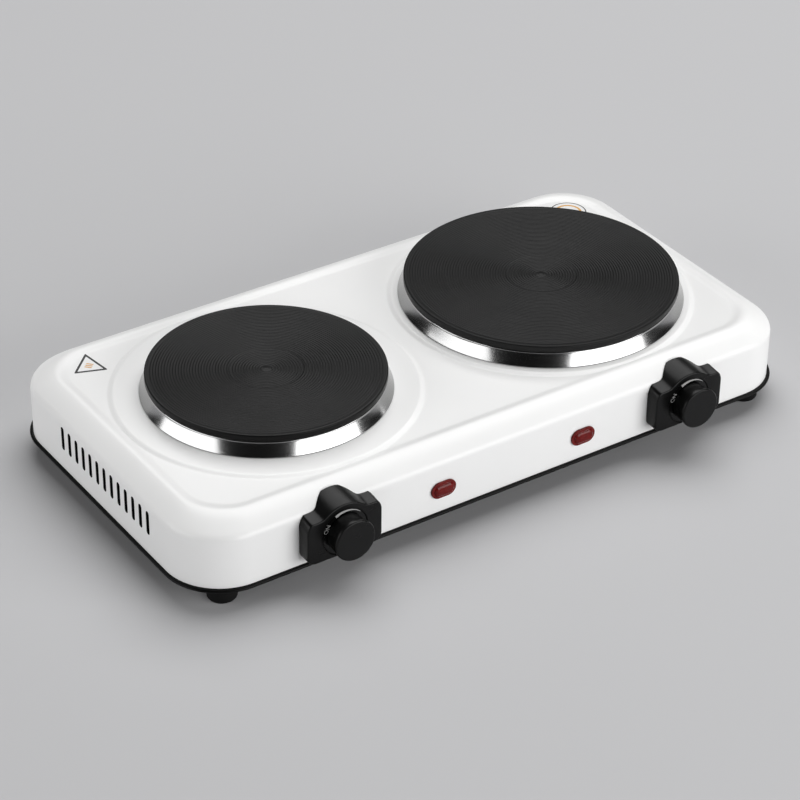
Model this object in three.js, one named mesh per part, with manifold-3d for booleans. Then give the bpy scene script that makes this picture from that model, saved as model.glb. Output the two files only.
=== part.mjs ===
// Two-plate electric hot plate: a pressed steel housing on a black base plate and four rubber feet,
// a small and a large cast-iron plate in flared trim rings, and a knob and a pilot lamp for each plate.
// Millimetres, +Z up. The front wall, with the knobs, faces -Y, and the small plate is on the left, at -X.
// The origin is on the surface it stands on, under the centre of the whole object's box.

import * as THREE from "three";
import { mergeVertices } from "three/addons/utils/BufferGeometryUtils.js";
import Module from "manifold-3d";

const wasm = await Module();
wasm.setup();

// ---------------------------------------------------------------- driving dimensions

const GAP = 0.3; // between two pieces that touch
const STEEL = 0.8; // housing and base plate sheet
const OVERCUT = 1; // how far a cutting tool runs past the face it cuts

// sides of a round piece, by its size
const PLATE_SIDES = 36;
const PLATFORM_SIDES = 40;
const KNOB_SIDES = 24;
const FOOT_SIDES = 16;
const SCREW_SIDES = 8;
const PIN_SIDES = 20; // shafts, studs, the cable gland and their holes
const BUSH_SIDES = 16;
const BORE_SIDES = 12; // small blind holes
const WAY_SIDES = 10; // ways of the terminal block
const NUT_SIDES = 6;
const CURVE_SIDES = 6; // each round end of a lens
const WELL_SIDES = 5; // each round end of a lamp body or its window
const SLOT_SIDES = 2; // each round end of a vent or a slot
const CORNER_STEPS = 5; // steps round a quarter of a housing corner

// plates and the housing round them, in plan
const SMALL_R = 77.5; // cast-iron plate, left
const LARGE_R = 92.5; // cast-iron plate, right
const PLATE_GAP = 46; // between the two plates' edges
const SIDE_MARGIN = 29.5; // from the large plate's edge to the side wall
const FRONT_MARGIN = 28; // from the large plate's edge to the front and rear walls
const CORNER_R = 38.5; // housing corner in plan
const CORNER_EASE = 0.5; // how much the corner tightens for each millimetre further in

// heights, from the surface up
const FOOT_H = 12.6;
const LIP_H = 2.2; // rolled lip of the base plate
const WALL_H = 36; // housing wall, up to the crease
const SHOULDER_RISE = 9.2; // from the crease to the rim's crest
const SHOULDER_W = 15.6; // from the wall in to the rim's crest
const RIM_DROP = 1.4; // from the crest down to the recessed panel
const RIM_SLOPE_W = 4.3; // width of that slope
const PLATFORM_RISE = 1.5; // round platform above the panel
const PLATFORM_SLOPE_W = 1.5;
const SMALL_PLATFORM_MARGIN = 22; // from the small plate's edge to its platform's edge
const LARGE_PLATFORM_MARGIN = 9.5;

// plates and trim rings
const PLATE_BAND = 4.5; // height of a plate's visible black side
const PLATE_EDGE = 0.8; // chamfer round a plate's top
const PLATE_BODY_H = 16; // whole thickness of a plate
const PLATE_OVERHANG = 7; // how far the band stands out past the plate's body
const DISH_R = 24.5; // shallow disc in the middle of a plate
const DISH_DEPTH = 0.7;
const RING_H = 9.2; // trim ring, from the platform to under the plate
const RING_FLARE = 3.8; // how far the ring's foot stands out past the plate
const RING_SHEET = 0.7;

// heater, shield, bridge and stud under each plate
const HEATER_DEPTH = 6.5;
const HEATER_HUB_R = 14;
const HEATER_WALL = 6; // iron left round the heater
const SHIELD_H = 6;
const SHIELD_SHEET = 0.8;
const BRIDGE_W = 24;
const BRIDGE_SHEET = 2;
const BRIDGE_DROP = 14; // below the platform's underside
const BRIDGE_TOE = 9; // length that bears on the housing
const STUD_R = 3;
const NUT_R = 5.8;
const NUT_H = 5;
const STUD_END = 3; // thread left below the nut

// base plate
const LIP_OUT = 2; // lip past the housing wall
const LIP_W = 3.6;
const SLOT_W = 4;
const SLOT_L = 52;
const SLOT_PITCH = 12;
const SLOT_COUNT = 7; // under each plate
const TAB_L = 16; // tabs inside the housing that the base plate is screwed to
const TAB_REACH = 13;
const TAB_X = 150;

// feet
const FOOT_R = 9.4;
const FOOT_TOP_R = 10.2;
const FOOT_EDGE = 1;
const FOOT_INSET_X = 25.8; // foot centre from the side wall
const FOOT_INSET_Y = 17.2; // foot centre from the front or rear wall
const FOOT_BORE_R = 4.2; // counterbore for the screw's head
const FOOT_BORE_H = 6;
const SCREW_R = 1.9;
const SCREW_HEAD_R = 3.6;
const SCREW_HEAD_H = 2.2;
const SCREW_REACH = 6; // past the base plate's underside

// side vents
const VENT_COUNT = 13;
const VENT_PITCH = 9.06;
const VENT_W = 3.8;
const VENT_H = 17.2;
const VENT_RISE = 23; // vents' middle above the housing's lower edge
const VENT_SHIFT_Y = -6.2; // vents' middle, towards the front

// knobs, bezels and thermostats
const KNOB_X = 132.9; // from the housing's middle
const KNOB_RISE = 20.8; // knob axis above the housing's lower edge
const KNOB_FACE_R = 14.1;
const KNOB_BASE_R = 12.9;
const KNOB_EDGE = 0.8;
const KNOB_PROUD = 12; // knob face in front of the bezel
const KNOB_SKIN = 2.4;
const KNOB_HUB_R = 5.4;
const BEZEL_HALF_W = 26.7;
const BEZEL_DEPTH = 10.2; // in front of the wall
const BEZEL_BACK = 8; // how far it reaches back over the shoulder
const BEZEL_BOTTOM_RISE = 4.4; // above the housing's lower edge
const BEZEL_CHAMFER = 5;
const BEZEL_CORNER_W = 2.2;
const BEZEL_CORNER_DROP = 5.4;
const BEZEL_HUMP_R = 20; // hump round the knob axis, at the front
const BEZEL_HUMP_BLEND = 2; // hollow where the hump runs into its flanks
const BEZEL_FLANK_DROP = 1.8; // flanks below the crease, at the front
const BEZEL_LIFT = 2.4; // rise of the top edge from front to back
const BEZEL_WALL = 2.6;
const DIAL_R = 16; // shallow dial recess round the knob
const DIAL_DEPTH = 0.6;
const SHAFT_R = 3;
const SHAFT_FLAT = 1; // depth of the flat on the shaft
const BUSH_R = 5;
const THERMOSTAT_W = 30;
const THERMOSTAT_D = 15;
const THERMOSTAT_BELOW_CREASE = 2.2;
const THERMOSTAT_ABOVE_EDGE = 7.8; // its lower face above the housing's lower edge
const CONTACT_X = 9; // each side of the knob axis
const CONTACT_W = 5;
const CONTACT_T = 0.8;
const CONTACT_PROUD = 6; // out of the thermostat's back
const CONTACT_RISE = 4; // above the thermostat's lower face
const SHAFT_SHORT = 3; // shaft's end before the thermostat's back
const SHAFT_BORE_SHORT = 2; // the same for the bore it turns in
const SHAFT_FLAT_L = 9;
const BUSH_PROUD = 3; // threaded bush in front of the wall
const THERMOSTAT_SCREW_X = 11; // each side of the knob axis
const THERMOSTAT_SCREW_R = 1.5;
const THERMOSTAT_SCREW_HEAD_R = 2.8;
const THERMOSTAT_SCREW_HEAD_H = 1.6;
const THERMOSTAT_SCREW_L = 6; // past the inside of the wall
const THERMOSTAT_SCREW_BORE = 7;
const BEZEL_BOSS_WALL = 2.4; // boss round the thermostat's bush
const BEZEL_STEPS = 18; // steps along the bezel's top edge

// pilot lamps
const LAMP_X = 54.1;
const LAMP_RISE = 16.6;
const LENS_W = 18.4;
const LENS_H = 11.6;
const LENS_FLANGE = 1.1;
const LENS_CAP_W = 14.4;
const LENS_CAP_H = 7.8;
const LENS_CAP_PROUD = 2.6;
const LAMP_W = 12.6; // lamp body behind the wall, and the lens stem
const LAMP_H = 7;
const LAMP_D = 20;
const LAMP_COLLAR = 2;
const LENS_STEM = 2; // lens stem past the inside of the wall
const LENS_STEM_OVERLAP = 0.5;

// mains inlet at the rear
const GLAND_X = 0;
const GLAND_RISE = 15;
const GLAND_R = 7; // in the wall
const GLAND_FLANGE_R = 9.5;
const GLAND_FLANGE_T = 2;
const GLAND_PROUD = 8;
const GLAND_INSIDE = 9;
const GLAND_GROOVE = 0.8;
const GLAND_BARB = 1.6; // how far it spreads behind the wall
const GLAND_TAPER = 1.4;
const CORD_R = 4; // bore for the cord
const BLOCK_W = 44;
const BLOCK_D = 16;
const BLOCK_H = 14;
const BLOCK_FROM_REAR = 42;
const BLOCK_WAYS = 3;
const BLOCK_BORE_R = 3;
const BLOCK_SCREW_R = 2;
const BLOCK_END = 0.3; // share of a way left over at the block's ends
const LEAD_R = 1.5;
const LEAD_STEPS = 18;
const LEAD_CLEAR = 2; // lead's end behind a contact
const EARTH_FROM_BLOCK = 16;
const EARTH_REACH = 9; // earth screw above the floor
const WASHER_R = 4.8;
const WASHER_T = 0.8;

// ---------------------------------------------------------------- places that follow from them

const PLATE_PITCH = SMALL_R + PLATE_GAP + LARGE_R;
const HALF_X = PLATE_PITCH / 2 + LARGE_R + SIDE_MARGIN;
const HALF_Y = LARGE_R + FRONT_MARGIN;
const BASE_Z = FOOT_H + GAP; // underside of the base plate
const FLOOR_Z = BASE_Z + STEEL; // top of the base plate's floor
const WALL_Z = BASE_Z + LIP_H + GAP; // lower edge of the housing
const CREASE_Z = WALL_Z + WALL_H;
const RIM_Z = CREASE_Z + SHOULDER_RISE;
const PANEL_Z = RIM_Z - RIM_DROP;
const PLATFORM_Z = PANEL_Z + PLATFORM_RISE;
const UNDER_Z = PLATFORM_Z - STEEL; // underside of the platform's sheet
const RING_Z = PLATFORM_Z + GAP;
const BAND_Z = RING_Z + RING_H + GAP; // underside of a plate's band
const TOP_Z = BAND_Z + PLATE_BAND;
const KNOB_Z = WALL_Z + KNOB_RISE;
const LAMP_Z = WALL_Z + LAMP_RISE;
const GLAND_Z = WALL_Z + GLAND_RISE;
const BEZEL_FRONT_Y = -HALF_Y - BEZEL_DEPTH;
const DIAL_Y = BEZEL_FRONT_Y + DIAL_DEPTH;
const KNOB_FACE_Y = BEZEL_FRONT_Y - KNOB_PROUD;
const INNER_Y = HALF_Y - STEEL;
const THERMOSTAT_BACK_Y = -INNER_Y + GAP + THERMOSTAT_D;
const THERMOSTAT_Z = WALL_Z + THERMOSTAT_ABOVE_EDGE; // its lower face
const REAR_REACH = HALF_Y + GLAND_PROUD;
const SHIFT_Y = (-KNOB_FACE_Y - REAR_REACH) / 2; // puts the origin in the middle of the box
const PLATES = [
  { name: "small", x: -PLATE_PITCH / 2, r: SMALL_R, platform: SMALL_R + SMALL_PLATFORM_MARGIN },
  { name: "large", x: PLATE_PITCH / 2, r: LARGE_R, platform: LARGE_R + LARGE_PLATFORM_MARGIN },
];
const SIDES = [
  { name: "left", s: -1 },
  { name: "right", s: 1 },
];

const bodyR = (plate) => plate.r - PLATE_OVERHANG;
const holeR = (plate) => bodyR(plate) + 1.2;
const studEndZ = UNDER_Z - BRIDGE_DROP - BRIDGE_SHEET - NUT_H - STUD_END - 2 * GAP;

// ---------------------------------------------------------------- shapes and solids

const v2 = (x, y) => new THREE.Vector2(x, y);
const v3 = (x, y, z) => new THREE.Vector3(x, y, z);

// A closed geometry as a solid, with its faces turned to point out.
function solid(geometry) {
  const bare = geometry.clone();
  bare.deleteAttribute("normal");
  bare.deleteAttribute("uv");
  const merged = mergeVertices(bare, 1e-4);
  const corners = [];
  const index = merged.index.array;
  for (let i = 0; i < index.length; i += 3) {
    const [a, b, c] = [index[i], index[i + 1], index[i + 2]];
    if (a !== b && b !== c && c !== a) corners.push(a, b, c);
  }
  const build = (triVerts) =>
    new wasm.Manifold(
      new wasm.Mesh({
        numProp: 3,
        vertProperties: new Float32Array(merged.attributes.position.array),
        triVerts: new Uint32Array(triVerts),
      }),
    );
  const made = build(corners);
  return made.volume() < 0 ? build(corners.reverse()) : made;
}

const all = (solids) => solids.reduce((sum, one) => sum.add(one));

// A solid of revolution about a vertical axis; the profile is [radius, height] pairs.
function turned(profile, segments, x = 0, y = 0) {
  const lathe = new THREE.LatheGeometry(
    profile.map(([r, z]) => v2(r, z)),
    segments,
  );
  lathe.rotateX(Math.PI / 2);
  lathe.translate(x, y, 0);
  return solid(lathe);
}

// The same about an axis along Y; the profile is [radius, y] pairs.
function turnedY(profile, segments, x, z) {
  const lathe = new THREE.LatheGeometry(
    profile.map(([r, y]) => v2(r, y)),
    segments,
  );
  lathe.translate(x, 0, z);
  return solid(lathe);
}

const disc = (r, z0, z1, segments, x = 0, y = 0) =>
  turned([[0, z0], [r, z0], [r, z1], [0, z1]], segments, x, y);

const rod = (r, y0, y1, segments, x, z) =>
  turnedY([[0, y0], [r, y0], [r, y1], [0, y1]], segments, x, z);

function box(x0, x1, y0, y1, z0, z1) {
  const shape = new THREE.BoxGeometry(x1 - x0, y1 - y0, z1 - z0);
  shape.translate((x0 + x1) / 2, (y0 + y1) / 2, (z0 + z1) / 2);
  return solid(shape);
}

// An outline as a prism: standing on z0, or drawn on the front in X and Z between two values of y.
function upright(shape, z0, z1, curveSegments = 6) {
  const prism = new THREE.ExtrudeGeometry(shape, { depth: z1 - z0, bevelEnabled: false, curveSegments });
  prism.translate(0, 0, z0);
  return solid(prism);
}

function facing(shape, y0, y1, curveSegments = 6) {
  const prism = new THREE.ExtrudeGeometry(shape, { depth: y1 - y0, bevelEnabled: false, curveSegments });
  prism.rotateX(Math.PI / 2);
  prism.translate(0, y1, 0);
  return solid(prism);
}

function sideways(shape, x0, x1, curveSegments = 6) {
  const prism = new THREE.ExtrudeGeometry(shape, { depth: x1 - x0, bevelEnabled: false, curveSegments });
  prism.rotateX(Math.PI / 2);
  prism.rotateZ(Math.PI / 2);
  prism.translate(x0, 0, 0);
  return solid(prism);
}

// A slot with round ends, long way along v when it is taller than wide, along u otherwise.
function slotShape(u, v, w, h) {
  const r = Math.min(w, h) / 2;
  const along = Math.abs(w - h) / 2;
  const shape = new THREE.Shape();
  if (h > w) {
    shape.absarc(u, v + along, r, 0, Math.PI);
    shape.absarc(u, v - along, r, Math.PI, 2 * Math.PI);
  } else {
    shape.absarc(u + along, v, r, -Math.PI / 2, Math.PI / 2);
    shape.absarc(u - along, v, r, Math.PI / 2, (3 * Math.PI) / 2);
  }
  return shape;
}

// One level of the housing: a rectangle with round corners, inset from the walls.
function outline(inset) {
  const r = CORNER_R - CORNER_EASE * inset;
  const points = [];
  for (let corner = 0; corner < 4; corner++) {
    const sx = corner === 0 || corner === 3 ? 1 : -1;
    const sy = corner < 2 ? 1 : -1;
    const cx = sx * (HALF_X - inset - r);
    const cy = sy * (HALF_Y - inset - r);
    for (let i = 0; i <= CORNER_STEPS; i++) {
      const angle = ((corner + i / CORNER_STEPS) * Math.PI) / 2;
      points.push(v2(cx + r * Math.cos(angle), cy + r * Math.sin(angle)));
    }
  }
  return points;
}

// Levels stacked into one closed skin, with a flat cap at each end.
function loft(levels) {
  const count = levels[0].points.length;
  const positions = [];
  const index = [];
  for (const { points, z } of levels) {
    for (const p of points) positions.push(p.x, p.y, z);
  }
  for (let level = 0; level + 1 < levels.length; level++) {
    for (let i = 0; i < count; i++) {
      const a = level * count + i;
      const b = level * count + ((i + 1) % count);
      index.push(a, b, b + count, a, b + count, a + count);
    }
  }
  const last = (levels.length - 1) * count;
  for (let i = 1; i + 1 < count; i++) {
    index.push(0, i + 1, i);
    index.push(last, last + i, last + i + 1);
  }
  const skin = new THREE.BufferGeometry();
  skin.setAttribute("position", new THREE.Float32BufferAttribute(positions, 3));
  skin.setIndex(index);
  return solid(skin);
}

// The profile moved in by one sheet thickness.
function insetProfile(profile, sheet) {
  return profile.map(([inset, z], i) => {
    const [i0, z0] = profile[Math.max(i - 1, 0)];
    const [i1, z1] = profile[Math.min(i + 1, profile.length - 1)];
    const length = Math.hypot(i1 - i0, z1 - z0);
    return [inset + (sheet * (z1 - z0)) / length, z - (sheet * (i1 - i0)) / length];
  });
}

const loftOf = (profile) => loft(profile.map(([inset, z]) => ({ points: outline(inset), z })));

// ---------------------------------------------------------------- finishes

const finish = (color, roughness, metalness) =>
  new THREE.MeshStandardMaterial({ color, roughness, metalness });

const ENAMEL = finish(0xececea, 0.22, 0);
const BLACK_PAINT = finish(0x141414, 0.45, 0.1);
const CAST_IRON = finish(0x3a3c3e, 0.75, 0.3);
const POLISHED = finish(0xd8d8d8, 0.12, 1);
const BLACK_PLASTIC = finish(0x1c1c1c, 0.4, 0);
const RUBBER = finish(0x101010, 0.8, 0);
const RED_LENS = finish(0x7a1518, 0.15, 0);
const ZINC = finish(0xb4b6b8, 0.4, 0.9);
const CERAMIC = finish(0xe6e0d2, 0.6, 0);
const FIBRE = finish(0x8f8674, 0.9, 0);
const BRASS = finish(0xb8963f, 0.35, 0.9);
const LEAD_SLEEVE = finish(0xd9d4c6, 0.7, 0);

const hotPlate = new THREE.Group();
hotPlate.position.y = SHIFT_Y;

function add(name, made, material) {
  const { vertProperties, triVerts } = made.getMesh();
  const geometry = new THREE.BufferGeometry();
  geometry.setAttribute("position", new THREE.BufferAttribute(vertProperties, 3));
  geometry.setIndex(new THREE.BufferAttribute(triVerts, 1));
  geometry.computeVertexNormals();
  const mesh = new THREE.Mesh(geometry, material);
  mesh.name = name;
  hotPlate.add(mesh);
}

// ---------------------------------------------------------------- housing

// The section from the lower edge up over the crease and shoulder to the recessed panel.
function housingProfile() {
  const shoulder = new THREE.QuadraticBezierCurve(
    v2(0.9, CREASE_Z + 0.5),
    v2(SHOULDER_W * 0.5, CREASE_Z + SHOULDER_RISE * 0.68),
    v2(SHOULDER_W - 1.2, RIM_Z - 0.3),
  );
  return [
    [0, WALL_Z],
    [0, CREASE_Z - 2.6],
    [0.25, CREASE_Z - 0.8],
    ...shoulder.getPoints(3).map((p) => [p.x, p.y]),
    [SHOULDER_W, RIM_Z],
    [SHOULDER_W + 1.2, RIM_Z - 0.35],
    [SHOULDER_W + RIM_SLOPE_W - 0.8, PANEL_Z + 0.25],
    [SHOULDER_W + RIM_SLOPE_W, PANEL_Z],
  ];
}

function platform(plate, sheet) {
  const foot = plate.platform + PLATFORM_SLOPE_W / 2 - sheet;
  const top = plate.platform - PLATFORM_SLOPE_W / 2 - sheet;
  const z0 = PANEL_Z - sheet - OVERCUT;
  const panelZ = PANEL_Z - sheet;
  const topZ = PLATFORM_Z - sheet;
  const profile = [[0, z0], [foot, z0], [foot, panelZ], [top, topZ], [0, topZ]];
  return turned(profile, PLATFORM_SIDES, plate.x);
}

const ventCentres = Array.from(
  { length: VENT_COUNT },
  (_, i) => VENT_SHIFT_Y + (i - (VENT_COUNT - 1) / 2) * VENT_PITCH,
);

const tabPlaces = [-1, 1].flatMap((sx) => [-1, 1].map((sy) => ({ sx, sy, x: sx * TAB_X })));
const tabScrewY = (sy) => sy * (INNER_Y - TAB_REACH / 2);

// A tab bent in from the wall's lower edge, from the wall to its free end.
function housingTab(sy, x) {
  const wall = sy * (INNER_Y + STEEL / 2);
  const end = sy * (INNER_Y - TAB_REACH);
  const [y0, y1] = [Math.min(wall, end), Math.max(wall, end)];
  return box(x - TAB_L / 2, x + TAB_L / 2, y0, y1, WALL_Z, WALL_Z + STEEL);
}

function topHousing() {
  const outside = housingProfile();
  const inside = insetProfile(outside, STEEL);
  inside[0] = [STEEL, WALL_Z - OVERCUT];
  const skin = all([loftOf(outside), ...PLATES.map((plate) => platform(plate, 0))]);
  const hollow = all([loftOf(inside), ...PLATES.map((plate) => platform(plate, STEEL))]);
  let shell = skin.subtract(hollow);
  for (const plate of PLATES) {
    shell = shell.subtract(disc(holeR(plate), PANEL_Z - 5, RIM_Z + OVERCUT, PLATE_SIDES, plate.x));
  }
  for (const y of ventCentres) {
    const vent = slotShape(y, WALL_Z + VENT_RISE, VENT_W, VENT_H);
    shell = shell.subtract(sideways(vent, -HALF_X - OVERCUT, -HALF_X + STEEL + OVERCUT, SLOT_SIDES));
    shell = shell.subtract(sideways(vent, HALF_X - STEEL - OVERCUT, HALF_X + OVERCUT, SLOT_SIDES));
  }
  for (const { s } of SIDES) {
    const y0 = -HALF_Y - OVERCUT;
    const y1 = -INNER_Y + OVERCUT;
    shell = shell.subtract(rod(BUSH_R + GAP, y0, y1, BUSH_SIDES, s * KNOB_X, KNOB_Z));
    for (const t of [-1, 1]) {
      const x = s * KNOB_X + t * THERMOSTAT_SCREW_X;
      shell = shell.subtract(rod(THERMOSTAT_SCREW_R + GAP, y0, y1, SCREW_SIDES, x, KNOB_Z));
    }
    const window = slotShape(s * LAMP_X, LAMP_Z, LAMP_W + 2 * GAP, LAMP_H + 2 * GAP);
    shell = shell.subtract(facing(window, y0, y1, WELL_SIDES));
  }
  const inletHole = rod(GLAND_R + GAP, INNER_Y - OVERCUT, HALF_Y + OVERCUT, PIN_SIDES, GLAND_X, GLAND_Z);
  shell = shell.subtract(inletHole);
  for (const { sy, x } of tabPlaces) {
    const low = WALL_Z - OVERCUT;
    const high = WALL_Z + STEEL + OVERCUT;
    shell = shell.add(housingTab(sy, x));
    shell = shell.subtract(disc(SCREW_R + GAP, low, high, SCREW_SIDES, x, tabScrewY(sy)));
  }
  return shell;
}

add("top_housing", topHousing(), ENAMEL);

// ---------------------------------------------------------------- base plate, feet and their screws

const footPlaces = [
  { name: "front_left", x: -HALF_X + FOOT_INSET_X, y: -HALF_Y + FOOT_INSET_Y },
  { name: "front_right", x: HALF_X - FOOT_INSET_X, y: -HALF_Y + FOOT_INSET_Y },
  { name: "rear_left", x: -HALF_X + FOOT_INSET_X, y: HALF_Y - FOOT_INSET_Y },
  { name: "rear_right", x: HALF_X - FOOT_INSET_X, y: HALF_Y - FOOT_INSET_Y },
];
const EARTH = { x: GLAND_X + BLOCK_W / 2 + EARTH_FROM_BLOCK, y: INNER_Y - BLOCK_FROM_REAR + BLOCK_D / 2 };

function basePlate() {
  const lipTop = BASE_Z + LIP_H;
  const edge = 0.5;
  let plate = loftOf([
    [-LIP_OUT + edge, BASE_Z],
    [-LIP_OUT, BASE_Z + edge],
    [-LIP_OUT, lipTop - edge],
    [-LIP_OUT + edge, lipTop],
  ]);
  plate = plate.subtract(loftOf([[LIP_W - LIP_OUT, FLOOR_Z], [LIP_W - LIP_OUT, lipTop + OVERCUT]]));
  for (const { x } of PLATES) {
    for (let i = 0; i < SLOT_COUNT; i++) {
      const slot = slotShape(x + (i - (SLOT_COUNT - 1) / 2) * SLOT_PITCH, 0, SLOT_W, SLOT_L);
      plate = plate.subtract(upright(slot, BASE_Z - OVERCUT, FLOOR_Z + OVERCUT, SLOT_SIDES));
    }
  }
  const holes = [
    ...footPlaces,
    ...tabPlaces.map(({ sy, x }) => ({ x, y: tabScrewY(sy) })),
    EARTH,
  ];
  for (const { x, y } of holes) {
    plate = plate.subtract(disc(SCREW_R + GAP, BASE_Z - OVERCUT, FLOOR_Z + OVERCUT, SCREW_SIDES, x, y));
  }
  return plate;
}

// A screw driven upwards: its head's underside is at z, its point at top.
function screw(x, y, z, top) {
  const profile = [
    [0, z - SCREW_HEAD_H],
    [SCREW_HEAD_R * 0.7, z - SCREW_HEAD_H],
    [SCREW_HEAD_R, z - SCREW_HEAD_H * 0.45],
    [SCREW_HEAD_R, z],
    [SCREW_R, z],
    [SCREW_R, top - SCREW_R],
    [0, top],
  ];
  return turned(profile, SCREW_SIDES, x, y);
}

function foot(x, y) {
  const profile = [
    [FOOT_BORE_R, 0],
    [FOOT_R - FOOT_EDGE, 0],
    [FOOT_R, FOOT_EDGE],
    [FOOT_TOP_R, FOOT_H],
    [SCREW_R + GAP, FOOT_H],
    [SCREW_R + GAP, FOOT_BORE_H],
    [FOOT_BORE_R, FOOT_BORE_H],
    [FOOT_BORE_R, 0],
  ];
  return turned(profile, FOOT_SIDES, x, y);
}

add("base_plate", basePlate(), BLACK_PAINT);
for (const { name, x, y } of footPlaces) {
  add("foot_" + name, foot(x, y), RUBBER);
  add("foot_screw_" + name, screw(x, y, FOOT_BORE_H - GAP, BASE_Z + SCREW_REACH), ZINC);
}
tabPlaces.forEach(({ sx, sy, x }) => {
  const name = (sy < 0 ? "front_" : "rear_") + (sx < 0 ? "left" : "right");
  add("base_screw_" + name, screw(x, tabScrewY(sy), BASE_Z - GAP, WALL_Z + SCREW_REACH), ZINC);
});

// ---------------------------------------------------------------- plates, trim rings and what clamps them

function castPlate(plate) {
  const r = plate.r;
  const body = bodyR(plate);
  const bottom = TOP_Z - PLATE_BODY_H;
  const heaterTop = bottom + HEATER_DEPTH;
  const profile = [
    [0, TOP_Z - DISH_DEPTH],
    [DISH_R - 0.8, TOP_Z - DISH_DEPTH],
    [DISH_R, TOP_Z],
    [r - PLATE_EDGE, TOP_Z],
    [r, TOP_Z - PLATE_EDGE],
    [r, BAND_Z + 0.4],
    [r - 0.6, BAND_Z],
    [body, BAND_Z],
    [body, bottom],
    [body - HEATER_WALL, bottom],
    [body - HEATER_WALL, heaterTop],
    [HEATER_HUB_R, heaterTop],
    [HEATER_HUB_R, bottom],
    [STUD_R, bottom],
    [STUD_R, studEndZ + 0.8],
    [STUD_R - 0.8, studEndZ],
    [0, studEndZ],
  ];
  return turned(profile, PLATE_SIDES, plate.x);
}

// A thin spun ring: an inner flange under the plate's band, then a flare down to the platform.
function trimRing(plate) {
  const top = RING_Z + RING_H;
  const flare = new THREE.QuadraticBezierCurve(
    v2(plate.r - 0.4, top - 0.8),
    v2(plate.r + RING_FLARE * 0.4, RING_Z + RING_H * 0.45),
    v2(plate.r + RING_FLARE - 0.2, RING_Z + RING_SHEET),
  );
  const outer = flare.getPoints(3).map((p) => [p.x, p.y]);
  const inner = outer.map(([r, z]) => [r - RING_SHEET * 1.2, z - RING_SHEET * 0.5]).reverse();
  const flange = bodyR(plate) + GAP + 0.6;
  const profile = [
    [flange, top],
    [plate.r - 1.2, top],
    ...outer,
    [plate.r + RING_FLARE, RING_Z],
    [plate.r + RING_FLARE - 1.4, RING_Z],
    ...inner.slice(1),
    [plate.r - 1.6, top - RING_SHEET],
    [flange, top - RING_SHEET],
    [flange, top],
  ];
  return turned(profile, PLATE_SIDES, plate.x);
}

// Fibre-backed heater, set in the plate's underside.
function heater(plate) {
  const z0 = TOP_Z - PLATE_BODY_H + 0.6;
  const z1 = TOP_Z - PLATE_BODY_H + HEATER_DEPTH - GAP;
  const r0 = HEATER_HUB_R + GAP;
  const r1 = bodyR(plate) - HEATER_WALL - GAP;
  return turned([[r0, z0], [r1, z0], [r1, z1], [r0, z1], [r0, z0]], PLATE_SIDES, plate.x);
}

// Pressed steel pan that keeps the plate's heat off the base.
function heatShield(plate) {
  const top = TOP_Z - PLATE_BODY_H - GAP;
  const r = bodyR(plate) - 1;
  const profile = [
    [STUD_R + GAP, top - SHIELD_H],
    [r - 3, top - SHIELD_H],
    [r, top - 2],
    [r, top],
    [r - SHIELD_SHEET, top],
    [r - SHIELD_SHEET, top - 1.8],
    [r - 3.4, top - SHIELD_H + SHIELD_SHEET],
    [STUD_R + GAP, top - SHIELD_H + SHIELD_SHEET],
    [STUD_R + GAP, top - SHIELD_H],
  ];
  return turned(profile, PLATE_SIDES, plate.x);
}

// Strap under the plate: its toes bear on the housing's underside, and the stud's nut pulls it up.
function bridge(plate) {
  const z0 = UNDER_Z - GAP - BRIDGE_DROP;
  const z1 = UNDER_Z - GAP;
  const inner = holeR(plate) + 3;
  const outer = inner + BRIDGE_TOE;
  const t = BRIDGE_SHEET;
  const shape = new THREE.Shape([
    v2(-outer, z1),
    v2(-outer, z1 - t),
    v2(-inner - t, z1 - t),
    v2(-inner, z0),
    v2(inner, z0),
    v2(inner + t, z1 - t),
    v2(outer, z1 - t),
    v2(outer, z1),
    v2(inner, z1),
    v2(inner - t, z0 + t),
    v2(-inner + t, z0 + t),
    v2(-inner, z1),
  ].map((p) => v2(p.x + plate.x, p.y)));
  const strap = facing(shape, -BRIDGE_W / 2, BRIDGE_W / 2);
  return strap.subtract(disc(STUD_R + GAP, z0 - OVERCUT, z0 + t + OVERCUT, PIN_SIDES, plate.x));
}

function studNut(plate) {
  const z1 = UNDER_Z - 2 * GAP - BRIDGE_DROP;
  const nut = disc(NUT_R, z1 - NUT_H, z1, NUT_SIDES, plate.x);
  return nut.subtract(disc(STUD_R + GAP, z1 - NUT_H - OVERCUT, z1 + OVERCUT, PIN_SIDES, plate.x));
}

for (const plate of PLATES) {
  add(plate.name + "_plate", castPlate(plate), CAST_IRON);
  add(plate.name + "_trim_ring", trimRing(plate), POLISHED);
  add(plate.name + "_heater", heater(plate), FIBRE);
  add(plate.name + "_heat_shield", heatShield(plate), ZINC);
  add(plate.name + "_bridge", bridge(plate), ZINC);
  add(plate.name + "_stud_nut", studNut(plate), ZINC);
}

// ---------------------------------------------------------------- bezels, knobs, shafts and thermostats

// The front top edge at a distance from the knob axis: a round hump running into level flanks.
function bezelTop(u) {
  const flank = CREASE_Z - BEZEL_FLANK_DROP;
  const hump = KNOB_Z + Math.sqrt(Math.max(BEZEL_HUMP_R ** 2 - u ** 2, 0));
  return (hump + flank + Math.hypot(hump - flank, BEZEL_HUMP_BLEND)) / 2;
}

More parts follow.
